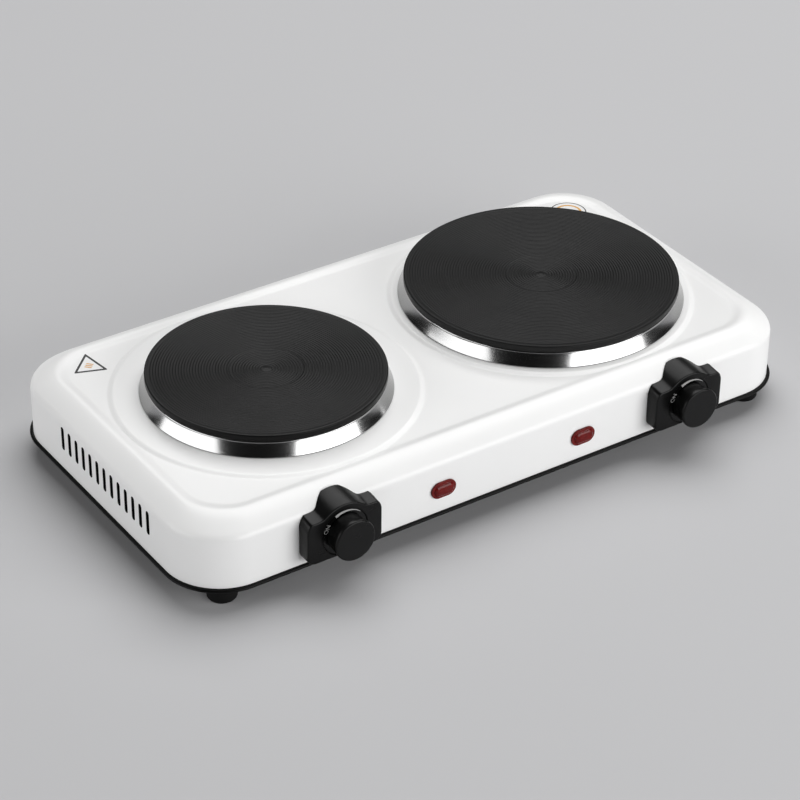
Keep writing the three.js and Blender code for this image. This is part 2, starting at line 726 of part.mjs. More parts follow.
function bezelOutline(inset, lift) {
  const half = BEZEL_HALF_W - inset;
  const low = WALL_Z + BEZEL_BOTTOM_RISE + inset;
  const rise = lift * BEZEL_LIFT - inset;
  const shoulder = BEZEL_HALF_W - BEZEL_CORNER_W;
  const top = [];
  for (let i = 0; i <= BEZEL_STEPS; i++) {
    const u = shoulder - (2 * shoulder * i) / BEZEL_STEPS;
    top.push(v2((u * half) / BEZEL_HALF_W, bezelTop(u) + rise));
  }
  const sideZ = bezelTop(shoulder) + rise - BEZEL_CORNER_DROP;
  return [
    v2(-half + BEZEL_CHAMFER, low),
    v2(half - BEZEL_CHAMFER, low),
    v2(half, low + BEZEL_CHAMFER),
    v2(half, sideZ),
    ...top,
    v2(-half, sideZ),
    v2(-half, low + BEZEL_CHAMFER),
  ];
}

// The outline pushed back from the front face, rising as it goes.
function bezelLoft(x, inset, yFront, yBack) {
  const full = BEZEL_DEPTH + BEZEL_BACK;
  const lift = (y) => (y - BEZEL_FRONT_Y) / full;
  const stack = loft([
    { points: bezelOutline(inset, lift(yFront)), z: -yFront },
    { points: bezelOutline(inset, lift(yBack)), z: -yBack },
  ]);
  return stack.transform([1, 0, 0, 0, 0, 0, 1, 0, 0, -1, 0, 0, x, 0, 0, 1]);
}

function bezel(s) {
  const x = s * KNOB_X;
  const backY = -HALF_Y + BEZEL_BACK;
  let made = bezelLoft(x, 0, BEZEL_FRONT_Y, backY);
  made = made.subtract(bezelLoft(x, BEZEL_WALL, BEZEL_FRONT_Y + BEZEL_WALL, backY + OVERCUT));
  const bossR = BUSH_R + BEZEL_BOSS_WALL;
  made = made.add(rod(bossR, BEZEL_FRONT_Y + BEZEL_WALL / 2, -HALF_Y - GAP, PIN_SIDES, x, KNOB_Z));
  const clear = housingProfile().map(([inset, z]) => [inset - GAP, z + (inset > 0 ? GAP : 0)]);
  made = made.subtract(loftOf([[-GAP, WALL_Z - OVERCUT], ...clear.slice(1)]));
  made = made.subtract(rod(DIAL_R, BEZEL_FRONT_Y - OVERCUT, DIAL_Y, KNOB_SIDES, x, KNOB_Z));
  const hub = rod(KNOB_HUB_R + GAP, BEZEL_FRONT_Y - OVERCUT, -HALF_Y + OVERCUT, PIN_SIDES, x, KNOB_Z);
  return made.subtract(hub);
}

function knob(s) {
  const backY = DIAL_Y - 2 * GAP;
  const hubY = -HALF_Y - BUSH_PROUD - GAP;
  const shaftHoleY = KNOB_FACE_Y + KNOB_SKIN;
  const bore = SHAFT_R + GAP;
  const profile = [
    [0, KNOB_FACE_Y],
    [KNOB_FACE_R - KNOB_EDGE, KNOB_FACE_Y],
    [KNOB_FACE_R, KNOB_FACE_Y + KNOB_EDGE],
    [KNOB_BASE_R, backY],
    [KNOB_HUB_R, backY],
    [KNOB_HUB_R, hubY],
    [bore, hubY],
    [bore, shaftHoleY],
    [0, shaftHoleY],
  ];
  return turnedY(profile, KNOB_SIDES, s * KNOB_X, KNOB_Z);
}

function controlShaft(s) {
  const front = KNOB_FACE_Y + KNOB_SKIN + GAP;
  const back = THERMOSTAT_BACK_Y - SHAFT_SHORT;
  const x = s * KNOB_X;
  const flatZ = KNOB_Z + SHAFT_R - SHAFT_FLAT;
  const topZ = KNOB_Z + SHAFT_R + OVERCUT;
  const flat = box(x - SHAFT_R, x + SHAFT_R, front - OVERCUT, front + SHAFT_FLAT_L, flatZ, topZ);
  return rod(SHAFT_R, front, back, PIN_SIDES, x, KNOB_Z).subtract(flat);
}

function thermostat(s) {
  const x = s * KNOB_X;
  const y0 = -INNER_Y + GAP;
  const y1 = THERMOSTAT_BACK_Y;
  const half = THERMOSTAT_W / 2;
  const body = box(x - half, x + half, y0, y1, THERMOSTAT_Z, CREASE_Z - THERMOSTAT_BELOW_CREASE);
  const bush = rod(BUSH_R, -HALF_Y - BUSH_PROUD, y0 + OVERCUT, BUSH_SIDES, x, KNOB_Z);
  const contacts = [-1, 1].map((t) => {
    const middle = x + t * CONTACT_X;
    const low = THERMOSTAT_Z + CONTACT_RISE;
    const high = low + CONTACT_T;
    return box(middle - CONTACT_W / 2, middle + CONTACT_W / 2, y1 - OVERCUT, y1 + CONTACT_PROUD, low, high);
  });
  const mouth = -HALF_Y - BUSH_PROUD - OVERCUT;
  const bore = rod(SHAFT_R + GAP, mouth, y1 - SHAFT_BORE_SHORT, PIN_SIDES, x, KNOB_Z);
  let made = all([body, bush, ...contacts]).subtract(bore);
  for (const t of [-1, 1]) {
    const screwX = x + t * THERMOSTAT_SCREW_X;
    const end = y0 + THERMOSTAT_SCREW_BORE;
    made = made.subtract(rod(THERMOSTAT_SCREW_R + GAP, y0 - OVERCUT, end, BORE_SIDES, screwX, KNOB_Z));
  }
  return made;
}

function thermostatScrew(x) {
  const seat = -HALF_Y - GAP;
  const profile = [
    [0, seat - THERMOSTAT_SCREW_HEAD_H],
    [THERMOSTAT_SCREW_HEAD_R, seat - THERMOSTAT_SCREW_HEAD_H],
    [THERMOSTAT_SCREW_HEAD_R, seat],
    [THERMOSTAT_SCREW_R, seat],
    [THERMOSTAT_SCREW_R, -INNER_Y + THERMOSTAT_SCREW_L],
    [0, -INNER_Y + THERMOSTAT_SCREW_L],
  ];
  return turnedY(profile, SCREW_SIDES, x, KNOB_Z);
}

for (const { name, s } of SIDES) {
  add("bezel_" + name, bezel(s), BLACK_PLASTIC);
  add("knob_" + name, knob(s), BLACK_PLASTIC);
  add("control_shaft_" + name, controlShaft(s), ZINC);
  add("thermostat_" + name, thermostat(s), CERAMIC);
  add("thermostat_screw_" + name + "_a", thermostatScrew(s * KNOB_X - THERMOSTAT_SCREW_X), ZINC);
  add("thermostat_screw_" + name + "_b", thermostatScrew(s * KNOB_X + THERMOSTAT_SCREW_X), ZINC);
}

// ---------------------------------------------------------------- pilot lamps

const LENS_STEM_Y = -INNER_Y + LENS_STEM;

function lens(s) {
  const x = s * LAMP_X;
  const seat = -HALF_Y - GAP;
  const stemY = seat - LENS_STEM_OVERLAP;
  const flange = facing(slotShape(x, LAMP_Z, LENS_W, LENS_H), seat - LENS_FLANGE, seat, CURVE_SIDES);
  const capShape = slotShape(x, LAMP_Z, LENS_CAP_W, LENS_CAP_H);
  const cap = facing(capShape, seat - LENS_CAP_PROUD, seat, CURVE_SIDES);
  const stem = facing(slotShape(x, LAMP_Z, LAMP_W, LAMP_H), stemY, LENS_STEM_Y, WELL_SIDES);
  return all([flange, cap, stem]);
}

function lampBody(s) {
  const x = s * LAMP_X;
  const y0 = LENS_STEM_Y + GAP;
  const collarY = -INNER_Y + GAP;
  const wide = LAMP_W / 2 + LAMP_COLLAR;
  const tall = LAMP_H / 2 + LAMP_COLLAR;
  const collar = box(x - wide, x + wide, collarY, y0 + LAMP_COLLAR, LAMP_Z - tall, LAMP_Z + tall);
  const barrel = facing(slotShape(x, LAMP_Z, LAMP_W, LAMP_H), y0 + OVERCUT, y0 + LAMP_D, WELL_SIDES);
  const mouth = slotShape(x, LAMP_Z, LAMP_W + 2 * GAP, LAMP_H + 2 * GAP);
  const well = facing(mouth, collarY - OVERCUT, y0, WELL_SIDES);
  return collar.add(barrel).subtract(well);
}

for (const { name, s } of SIDES) {
  add("pilot_lens_" + name, lens(s), RED_LENS);
  add("pilot_lamp_" + name, lampBody(s), BLACK_PLASTIC);
}

// ---------------------------------------------------------------- mains inlet, terminal block and leads

const BLOCK_Y = INNER_Y - BLOCK_FROM_REAR;
const BLOCK_Z = FLOOR_Z + GAP;
const CONTACT_Z = THERMOSTAT_Z + CONTACT_RISE + CONTACT_T / 2;

function cableGland() {
  const inside = INNER_Y - GLAND_INSIDE;
  const profile = [
    [CORD_R, inside],
    [GLAND_R + GLAND_BARB / 2, inside],
    [GLAND_R + GLAND_BARB, INNER_Y - GAP],
    [GLAND_R, INNER_Y - GAP],
    [GLAND_R, HALF_Y + GAP],
    [GLAND_FLANGE_R, HALF_Y + GAP],
    [GLAND_FLANGE_R, HALF_Y + GAP + GLAND_FLANGE_T],
    [GLAND_R - GLAND_GROOVE, HALF_Y + GAP + GLAND_FLANGE_T],
    [GLAND_R - GLAND_TAPER, REAR_REACH],
    [CORD_R, REAR_REACH],
    [CORD_R, inside],
  ];
  return turnedY(profile, PIN_SIDES, GLAND_X, GLAND_Z);
}

const wayX = (i) => GLAND_X + ((i - (BLOCK_WAYS - 1) / 2) * BLOCK_W) / (BLOCK_WAYS + BLOCK_END);

function terminalBlock() {
  const half = BLOCK_W / 2;
  const y0 = BLOCK_Y - BLOCK_D / 2;
  const y1 = BLOCK_Y + BLOCK_D / 2;
  const top = BLOCK_Z + BLOCK_H;
  const middle = BLOCK_Z + BLOCK_H / 2;
  let block = box(GLAND_X - half, GLAND_X + half, y0, y1, BLOCK_Z, top);
  for (let i = 0; i < BLOCK_WAYS; i++) {
    block = block.subtract(rod(BLOCK_BORE_R, y0 - OVERCUT, y1 + OVERCUT, WAY_SIDES, wayX(i), middle));
    block = block.subtract(disc(BLOCK_SCREW_R, middle, top + OVERCUT, SCREW_SIDES, wayX(i), BLOCK_Y));
  }
  return block;
}

// A round lead along a smooth curve through a few chosen points.
function lead(points) {
  const path = new THREE.CatmullRomCurve3(points, false, "centripetal");
  const ring = new THREE.Shape();
  ring.absarc(0, 0, LEAD_R, 0, 2 * Math.PI);
  const tube = new THREE.ExtrudeGeometry(ring, { extrudePath: path, steps: LEAD_STEPS, curveSegments: 3 });
  return solid(tube);
}

// From a way of the block, forward between the plates, to a contact of the thermostat.
function supplyLead(s) {
  const start = v3(wayX(s < 0 ? 0 : BLOCK_WAYS - 1), BLOCK_Y - 4, BLOCK_Z + BLOCK_H / 2);
  const low = FLOOR_Z + LEAD_R + 1.5;
  const endY = THERMOSTAT_BACK_Y + CONTACT_PROUD + LEAD_CLEAR;
  const endX = s * (KNOB_X - CONTACT_X);
  return lead([
    start,
    v3(start.x, BLOCK_Y - 20, start.z - 2),
    v3(s * 8, 20, low),
    v3(s * 12, -50, low),
    v3(s * 60, endY + 14, low + 1),
    v3(endX, endY + 8, CONTACT_Z - 2.4),
    v3(endX, endY, CONTACT_Z),
  ]);
}

// From the thermostat's other contact back under the plate, up to the heat shield's edge.
function heaterLead(s, plate) {
  const startX = s * (KNOB_X + CONTACT_X);
  const startY = THERMOSTAT_BACK_Y + CONTACT_PROUD + LEAD_CLEAR;
  const low = FLOOR_Z + LEAD_R + 4;
  const shieldZ = TOP_Z - PLATE_BODY_H - GAP - SHIELD_H;
  return lead([
    v3(startX, startY, CONTACT_Z),
    v3(startX, startY + 10, CONTACT_Z - 2.4),
    v3(startX - s * 4, -60, low + 6),
    v3(plate.x + s * 14, -36, shieldZ - 12),
    v3(plate.x + s * 12, -28, shieldZ - LEAD_R - 0.4),
  ]);
}

function earthScrew() {
  const seat = BASE_Z - GAP - WASHER_T;
  const washer = disc(WASHER_R, seat, BASE_Z - GAP, PIN_SIDES, EARTH.x, EARTH.y);
  return screw(EARTH.x, EARTH.y, seat, FLOOR_Z + EARTH_REACH).add(washer);
}

add("cable_gland", cableGland(), BLACK_PLASTIC);
add("terminal_block", terminalBlock(), CERAMIC);
add("earth_screw", earthScrew(), BRASS);
SIDES.forEach(({ name, s }, i) => {
  add("supply_lead_" + name, supplyLead(s), LEAD_SLEEVE);
  add("heater_lead_" + name, heaterLead(s, PLATES[i]), LEAD_SLEEVE);
});

export default hotPlate;
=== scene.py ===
import math

import bmesh
import bpy
import numpy as np
from mathutils import Matrix, Vector
from mathutils.geometry import delaunay_2d_cdt


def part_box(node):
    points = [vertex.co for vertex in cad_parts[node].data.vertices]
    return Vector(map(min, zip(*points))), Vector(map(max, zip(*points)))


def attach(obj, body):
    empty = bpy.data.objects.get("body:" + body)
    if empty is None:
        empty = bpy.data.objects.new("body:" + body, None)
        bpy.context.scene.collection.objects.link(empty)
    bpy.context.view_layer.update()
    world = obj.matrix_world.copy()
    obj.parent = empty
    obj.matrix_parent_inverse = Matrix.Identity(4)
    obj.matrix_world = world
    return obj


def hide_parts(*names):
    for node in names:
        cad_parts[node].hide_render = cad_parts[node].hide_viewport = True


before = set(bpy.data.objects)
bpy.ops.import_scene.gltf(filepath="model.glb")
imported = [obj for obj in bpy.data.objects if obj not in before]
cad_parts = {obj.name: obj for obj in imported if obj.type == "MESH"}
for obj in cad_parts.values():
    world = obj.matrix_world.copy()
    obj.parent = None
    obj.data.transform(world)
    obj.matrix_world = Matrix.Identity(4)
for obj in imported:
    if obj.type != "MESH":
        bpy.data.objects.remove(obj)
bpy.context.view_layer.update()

# ------------------------------------------------------------------------------------------------
# Base plate: a sheet steel tray painted satin black, pressed in one hit with a rolled lip that the
# housing stands in, and seven cooling slots under each hot plate. All sizes are in millimetres.
# ------------------------------------------------------------------------------------------------

MM = 0.001
STEEL = 0.8
CORNER_R = 38.5
CORNER_EASE = 0.5
CORNER_STEPS = 16
LIP_OUT = 2.0
LIP_INNER = 1.6
SLOT_PITCH = 12.0
SLOT_WIDTH = 4.0
SLOT_LENGTH = 52.0
SLOTS_PER_PLATE = 7
SLOT_END_SHARE = 0.4999
SLOT_END_POINTS = 7
PUNCH_DEPTH = 4.0
UNDERSIDE_INSET = 4.0
FLOOR_ROUND = 0.35
LIP_CHAMFER = 0.3


def box_mm(node):
    """Lowest and highest corner of a CAD node, in millimetres."""
    low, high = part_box(node)
    return low / MM, high / MM


tray_low, tray_high = box_mm("base_plate")
HALF_X = tray_high.x - LIP_OUT
HALF_Y = (tray_high.y - tray_low.y) / 2 - LIP_OUT
MIDDLE_Y = (tray_high.y + tray_low.y) / 2
TRAY_Z = tray_low.z
FLOOR_Z = TRAY_Z + STEEL
PLATE_X = {size: sum(c.x for c in box_mm(size + "_plate")) / 2 for size in ("small", "large")}


def wall_outline(inset):
    """The housing's plan: a rectangle with round corners, moved in from the wall."""
    radius = CORNER_R - CORNER_EASE * inset
    points = []
    for corner, (sx, sy) in enumerate(((1, 1), (-1, 1), (-1, -1), (1, -1))):
        cx, cy = sx * (HALF_X - inset - radius), sy * (HALF_Y - inset - radius)
        for step in range(CORNER_STEPS + 1):
            angle = (corner + step / CORNER_STEPS) * math.pi / 2
            points.append((cx + radius * math.cos(angle), MIDDLE_Y + cy + radius * math.sin(angle)))
    return points


def new_piece(name, points, faces):
    """A mesh object from points in millimetres, with its place in its mesh."""
    mesh = bpy.data.meshes.new(name)
    mesh.from_pydata([(x * MM, y * MM, z * MM) for x, y, z in points], [], faces)
    piece = bpy.data.objects.new(name, mesh)
    bpy.context.scene.collection.objects.link(piece)
    return piece


def close_up(piece):
    """Merges doubled corners and turns every face outwards."""
    bm = bmesh.new()
    bm.from_mesh(piece.data)
    bmesh.ops.remove_doubles(bm, verts=bm.verts, dist=0.002 * MM)
    bmesh.ops.dissolve_degenerate(bm, edges=bm.edges, dist=0.001 * MM)
    bmesh.ops.recalc_face_normals(bm, faces=bm.faces)
    bm.to_mesh(piece.data)
    bm.free()
    return piece


def stacked(name, rings, cap_first=True, cap_last=True):
    """Rings of equal count joined into one skin, with a flat face over either end."""
    count = len(rings[0])
    points = [p for ring in rings for p in ring]
    faces = []
    for level in range(len(rings) - 1):
        for i in range(count):
            a, b = level * count + i, level * count + (i + 1) % count
            faces.append((a, b, b + count, a + count))
    if cap_first:
        faces.append(tuple(reversed(range(count))))
    if cap_last:
        faces.append(tuple(range((len(rings) - 1) * count, len(rings) * count)))
    return close_up(new_piece(name, points, faces))


def stacked_outlines(name, profile):
    """A closed skin from (inset, height) pairs that follow the housing's plan."""
    return stacked(name, [[(x, y, z) for x, y in wall_outline(inset)] for inset, z in profile])


def arc(cx, cy, radius, start, end, steps):
    """Points on an arc, its angles in degrees."""
    turn = [math.radians(start + (end - start) * i / steps) for i in range(steps + 1)]
    return [(cx + radius * math.cos(a), cy + radius * math.sin(a)) for a in turn]


def settle(piece):
    """Replaces the mesh by what its modifiers make of it."""
    evaluated = piece.evaluated_get(bpy.context.evaluated_depsgraph_get())
    mesh = bpy.data.meshes.new_from_object(evaluated)
    piece.modifiers.clear()
    piece.data = mesh
    return piece


def cut(piece, tool, operation="DIFFERENCE"):
    """One boolean of a closed tool on a closed piece; the tool goes."""
    boolean = piece.modifiers.new("cut", "BOOLEAN")
    boolean.operation = operation
    boolean.solver = "EXACT"
    boolean.object = tool
    settle(piece)
    bpy.data.objects.remove(tool)
    return piece


def smooth(piece, crease=32.0):
    """Smooth shading that breaks at edges sharper than the crease angle."""
    bm = bmesh.new()
    bm.from_mesh(piece.data)
    for face in bm.faces:
        face.smooth = True
    for edge in bm.edges:
        edge.smooth = len(edge.link_faces) == 2 and edge.calc_face_angle() < math.radians(crease)
    bm.to_mesh(piece.data)
    bm.free()
    return piece


def grow(tree, kind, inputs=None, **settings):
    """Adds a node; an input is a value or another node's socket."""
    node = tree.nodes.new(kind)
    for key, value in settings.items():
        setattr(node, key, value)
    for key, value in (inputs or {}).items():
        if isinstance(value, bpy.types.NodeSocket):
            tree.links.new(value, node.inputs[key])
        else:
            node.inputs[key].default_value = value
    return node


def sized_tree(name, sizes):
    """A Geometry Nodes tree with named inputs; returns the tree and its input node."""
    tree = bpy.data.node_groups.new(name, "GeometryNodeTree")
    tree.interface.new_socket("Geometry", in_out="INPUT", socket_type="NodeSocketGeometry")
    tree.interface.new_socket("Geometry", in_out="OUTPUT", socket_type="NodeSocketGeometry")
    for key, kind in sizes.items():
        tree.interface.new_socket(key, in_out="INPUT", socket_type="NodeSocket" + kind)
    return tree, tree.nodes.new("NodeGroupInput")


def end_tree(tree, given, geometry):
    """Realizes the instances, sets the finish and ends the tree."""
    real = grow(tree, "GeometryNodeRealizeInstances", {"Geometry": geometry})
    painted = grow(tree, "GeometryNodeSetMaterial", {
        "Geometry": real.outputs[0], "Material": given.outputs["Finish"],
    })
    grow(tree, "NodeGroupOutput", {0: painted.outputs[0]})
    return tree


def made_by(tree, name, values, points=(), faces=()):
    """A plain mesh object that a tree makes from the given sizes."""
    piece = new_piece(name, points, faces)
    modifier = piece.modifiers.new("sizes", "NODES")
    modifier.node_group = tree
    for item in tree.interface.items_tree:
        if item.name in values:
            modifier[item.identifier] = values[item.name]
    return settle(piece)


def slot_row_tree():
    """A row of closed bars with round ends: the punches that pierce the sheet."""
    tree, given = sized_tree("slot_row", {
        "Count": "Int", "Width": "Float", "Length": "Float", "Depth": "Float",
        "Middle": "Vector", "Step": "Vector", "Turn": "Rotation", "Finish": "Material",
    })
    size = given.outputs
    radius = grow(tree, "ShaderNodeMath", {0: size["Width"], 1: SLOT_END_SHARE}, operation="MULTIPLY")
    outline = grow(tree, "GeometryNodeCurvePrimitiveQuadrilateral", {
        "Width": size["Width"], "Height": size["Length"],
    })
    ends = grow(tree, "GeometryNodeFilletCurve", {
        "Curve": outline.outputs[0], "Radius": radius.outputs[0], "Count": SLOT_END_POINTS,
    }, mode="POLY")
    face = grow(tree, "GeometryNodeFillCurve", {"Curve": ends.outputs[0]}, mode="NGONS")
    pulled = grow(tree, "GeometryNodeExtrudeMesh", {
        "Mesh": face.outputs[0], "Offset Scale": size["Depth"], "Individual": False,
    })
    flipped = grow(tree, "GeometryNodeFlipFaces", {"Mesh": face.outputs[0]})
    both = grow(tree, "GeometryNodeJoinGeometry")
    tree.links.new(pulled.outputs[0], both.inputs[0])
    tree.links.new(flipped.outputs[0], both.inputs[0])
    closed = grow(tree, "GeometryNodeMergeByDistance", {"Geometry": both.outputs[0], "Distance": 1e-6})
    back = grow(tree, "ShaderNodeMath", {0: size["Count"], 1: 1.0}, operation="SUBTRACT")
    half = grow(tree, "ShaderNodeMath", {0: back.outputs[0], 1: -0.5}, operation="MULTIPLY")
    to_first = grow(tree, "ShaderNodeVectorMath", {0: size["Step"]}, operation="SCALE")
    tree.links.new(half.outputs[0], to_first.inputs["Scale"])
    first = grow(tree, "ShaderNodeVectorMath", {0: size["Middle"], 1: to_first.outputs[0]}, operation="ADD")
    row = grow(tree, "GeometryNodeMeshLine", {
        "Count": size["Count"], "Start Location": first.outputs[0], "Offset": size["Step"],
    }, mode="OFFSET")
    placed = grow(tree, "GeometryNodeInstanceOnPoints", {
        "Points": row.outputs[0], "Instance": closed.outputs[0], "Rotation": size["Turn"],
    })
    return end_tree(tree, given, placed.outputs[0])


def grey(level):
    """A neutral colour."""
    return (level, level, level)


def new_finish(name, colour, roughness, metallic=0.0, **levels):
    """A material on Object coordinates; returns it, its tree, its shader and the coordinates."""
    material = bpy.data.materials.new(name)
    material.use_nodes = True
    tree = material.node_tree
    shader = tree.nodes["Principled BSDF"]
    shader.inputs["Base Color"].default_value = (*colour, 1)
    shader.inputs["Roughness"].default_value = roughness
    shader.inputs["Metallic"].default_value = metallic
    for key, value in levels.items():
        shader.inputs[key.replace("_", " ").title().replace("Ior", "IOR")].default_value = value
    material.diffuse_color = (*colour, 1)
    where = tree.nodes.new("ShaderNodeTexCoord").outputs["Object"]
    return material, tree, shader, where


def mottle(tree, shader, where, scale, dark, light, rough, detail=4.0):
    """Cloudy change of colour, from dark to light, and of roughness between two values."""
    cloud = grow(tree, "ShaderNodeTexNoise", {
        "Vector": where, "Scale": scale, "Detail": detail, "Roughness": 0.6,
    }).outputs["Fac"]
    tone = grow(tree, "ShaderNodeMix", {0: cloud, 6: (*dark, 1), 7: (*light, 1)}, data_type="RGBA")
    tree.links.new(tone.outputs[2], shader.inputs["Base Color"])
    gloss = grow(tree, "ShaderNodeMapRange", {
        "Value": cloud, "From Min": 0.3, "From Max": 0.7, "To Min": rough[0], "To Max": rough[1],
    })
    tree.links.new(gloss.outputs[0], shader.inputs["Roughness"])


def grain(tree, shader, where, scale, depth, under=None):
    """Fine relief as a bump, its depth in millimetres, over any bump given."""
    texture = grow(tree, "ShaderNodeTexNoise", {"Vector": where, "Scale": scale})
    bump = grow(tree, "ShaderNodeBump", {
        "Height": texture.outputs[0], "Strength": 1.0, "Distance": depth * MM,
    })
    if under is not None:
        tree.links.new(under, bump.inputs["Normal"])
    tree.links.new(bump.outputs[0], shader.inputs["Normal"])
    return bump.outputs[0]


def satin_black_paint():
    """Stoved satin black on steel, with the slight texture of sprayed paint."""
    material, tree, shader, where = new_finish(
        "satin_black_paint", grey(0.003), 0.4, specular_ior_level=0.12)
    mottle(tree, shader, where, 22.0, grey(0.002), grey(0.004), (0.34, 0.46))
    grain(tree, shader, where, 900.0, 0.02)
    return material


def fix(piece, material, slot, body, *nodes):
    """Gives a piece its finish, the body it rides on and the CAD nodes it stands for; the slot is not used.
    """
    piece.data.materials.clear()
    piece.data.materials.append(material)
    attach(piece, body)
    if nodes:
        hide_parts(*nodes)
    return piece


slot_row = slot_row_tree()
black_paint = satin_black_paint()

BEAD_R = (tray_high.z - TRAY_Z) / 2
tray_section = [(UNDERSIDE_INSET, TRAY_Z)]
tray_section += arc(-LIP_OUT + BEAD_R, TRAY_Z + BEAD_R, BEAD_R, -90, -270, 12)
tray_section += [(LIP_INNER - LIP_CHAMFER, tray_high.z), (LIP_INNER, tray_high.z - LIP_CHAMFER)]
tray_section += [(LIP_INNER, FLOOR_Z + FLOOR_ROUND), (LIP_INNER + FLOOR_ROUND, FLOOR_Z)]
tray = stacked_outlines("base_tray", tray_section)
for size in ("small", "large"):
    punches = made_by(slot_row, "tray_punches", {
        "Count": SLOTS_PER_PLATE,
        "Width": SLOT_WIDTH * MM,
        "Length": SLOT_LENGTH * MM,
        "Depth": PUNCH_DEPTH * MM,
        "Middle": (PLATE_X[size] * MM, MIDDLE_Y * MM, (TRAY_Z - 1.5) * MM),
        "Step": (SLOT_PITCH * MM, 0, 0),
    })
    cut(tray, punches)
fix(smooth(tray), black_paint, "black_paint", "housing", "base_plate")

# ------------------------------------------------------------------------------------------------
# Feet and screws: four moulded rubber feet, each held through its counterbore by a zinc-plated
# cross-recess screw, and four more such screws that hold the tray to the housing's tabs.
# ------------------------------------------------------------------------------------------------

FOOT_SIDES = 48
FOOT_ROUND = 2.0
FOOT_TAPER = 0.6
FOOT_TOP_CHAMFER = 0.4
BORE_R = 4.2
BORE_H = 6.0
BORE_CHAMFER = 0.35
SCREW_SIDES = 24
SCREW_HEAD_R = 3.6
SCREW_HEAD_H = 2.2
SCREW_DOME = 0.55
SCREW_R = 1.9
SCREW_TIP = 1.5
SCREW_PLAY = 0.3
THREAD_START = 0.4
THREAD_RUNOUT = 2.0
THREAD_PITCH = 1.27
THREAD_DEPTH = 0.3
RECESS_WIDTH = 0.8
RECESS_LENGTH = 3.6
RECESS_DEPTH = 1.3
RECESS_TAPER = 0.7


def turned(name, profile, sides, x=0.0, y=0.0, closed=False, along_y=False):
    """A turned piece from (radius, height) pairs; along_y turns it about a level axis."""
    points, faces, rows = [], [], []
    for radius, height in profile:
        start = len(points)
        count = sides if radius > 1e-6 else 1
        for i in range(count):
            angle = 2 * math.pi * i / sides
            u, v = radius * math.cos(angle), radius * math.sin(angle)
            points.append((x + u, height, y + v) if along_y else (x + u, y + v, height))
        rows.append((start, count))
    pairs = list(zip(rows, rows[1:])) + ([(rows[-1], rows[0])] if closed else [])
    for (a, na), (b, nb) in pairs:
        for i in range(sides):
            j = (i + 1) % sides
            if na > 1 and nb > 1:
                faces.append((a + i, a + j, b + j, b + i))
            elif na > 1:
                faces.append((a + i, a + j, b))
            elif nb > 1:
                faces.append((a, b + j, b + i))
    return close_up(new_piece(name, points, faces))


def corner_set_tree():
    """The same fastening at four corners of a rectangle."""
    tree, given = sized_tree("corner_set", {
        "Piece": "Object", "Span X": "Float", "Span Y": "Float", "Middle": "Vector", "Finish": "Material",
    })
    size = given.outputs
    corners = grow(tree, "GeometryNodeMeshGrid", {
        "Size X": size["Span X"], "Size Y": size["Span Y"], "Vertices X": 2, "Vertices Y": 2,
    })
    moved = grow(tree, "GeometryNodeTransform", {
        "Geometry": corners.outputs[0], "Translation": size["Middle"],
    })
    one = grow(tree, "GeometryNodeObjectInfo", {"Object": size["Piece"]})
    placed = grow(tree, "GeometryNodeInstanceOnPoints", {
        "Points": moved.outputs[0], "Instance": one.outputs["Geometry"],
    })
    return end_tree(tree, given, placed.outputs[0])


def foot_rubber():
    """Black moulded rubber, dull, with a dusting of paler bloom."""
    material, tree, shader, where = new_finish(
        "foot_rubber", grey(0.004), 0.75, specular_ior_level=0.15)
    mottle(tree, shader, where, 160.0, grey(0.003), grey(0.007), (0.65, 0.85))
    grain(tree, shader, where, 1400.0, 0.03)
    return material


def zinc_plate():
    """Bright zinc plating with its faint cloudy bloom."""
    material, tree, shader, where = new_finish("zinc_plate", (0.55, 0.56, 0.57), 0.35, 1.0)
    mottle(tree, shader, where, 240.0, (0.42, 0.43, 0.45), (0.62, 0.62, 0.61), (0.24, 0.46))
    grain(tree, shader, where, 2200.0, 0.01)
    return material


def screw(head_top, seat, tip):
    """A pan-head screw pointing up: dished cross recess below, rolled thread above the seat."""
    profile = [(0, head_top)]
    for share in (0.4, 0.7, 0.85, 0.95, 1.0):
        profile.append((SCREW_HEAD_R * share, head_top + SCREW_HEAD_H * SCREW_DOME * share ** 3))
    profile += [(SCREW_HEAD_R, seat), (SCREW_R, seat)]
    turns = int((tip - seat - THREAD_RUNOUT) / THREAD_PITCH)
    for i in range(turns):
        z = seat + THREAD_START + i * THREAD_PITCH
        profile += [(SCREW_R - THREAD_DEPTH, z), (SCREW_R, z + THREAD_PITCH / 2)]
    profile += [(SCREW_R - THREAD_DEPTH, tip - SCREW_TIP), (0.0, tip)]
    piece = turned("one_screw", profile, SCREW_SIDES)
    for wide, long in ((RECESS_WIDTH, RECESS_LENGTH), (RECESS_LENGTH, RECESS_WIDTH)):
        rings = []
        for z, taper in ((head_top - 1, 1), (head_top + RECESS_DEPTH, RECESS_TAPER)):
            u, v = wide / 2 * taper, long / 2 * taper
            rings.append([(-u, -v, z), (u, -v, z), (u, v, z), (-u, v, z)])
        cut(piece, stacked("recess", rings))
    return smooth(piece)


corner_set = corner_set_tree()
rubber = foot_rubber()
zinc = zinc_plate()
CORNERS = ("front_left", "front_right", "rear_left", "rear_right")


def at_corners(name, one, like, material, slot):
    """Copies one piece, made on the axis, to the four corners where the CAD has its like."""
    first, last = box_mm(like + "_front_left"), box_mm(like + "_rear_right")
    span = (last[0] + last[1] - first[0] - first[1]) / 2
    placed = made_by(corner_set, name, {
        "Piece": one,
        "Span X": abs(span.x) * MM,
        "Span Y": abs(span.y) * MM,
        "Middle": (0, MIDDLE_Y * MM, 0),
        "Finish": material,
    })
    bpy.data.objects.remove(one)
    return fix(placed, material, slot, "housing", *[like + "_" + corner for corner in CORNERS])


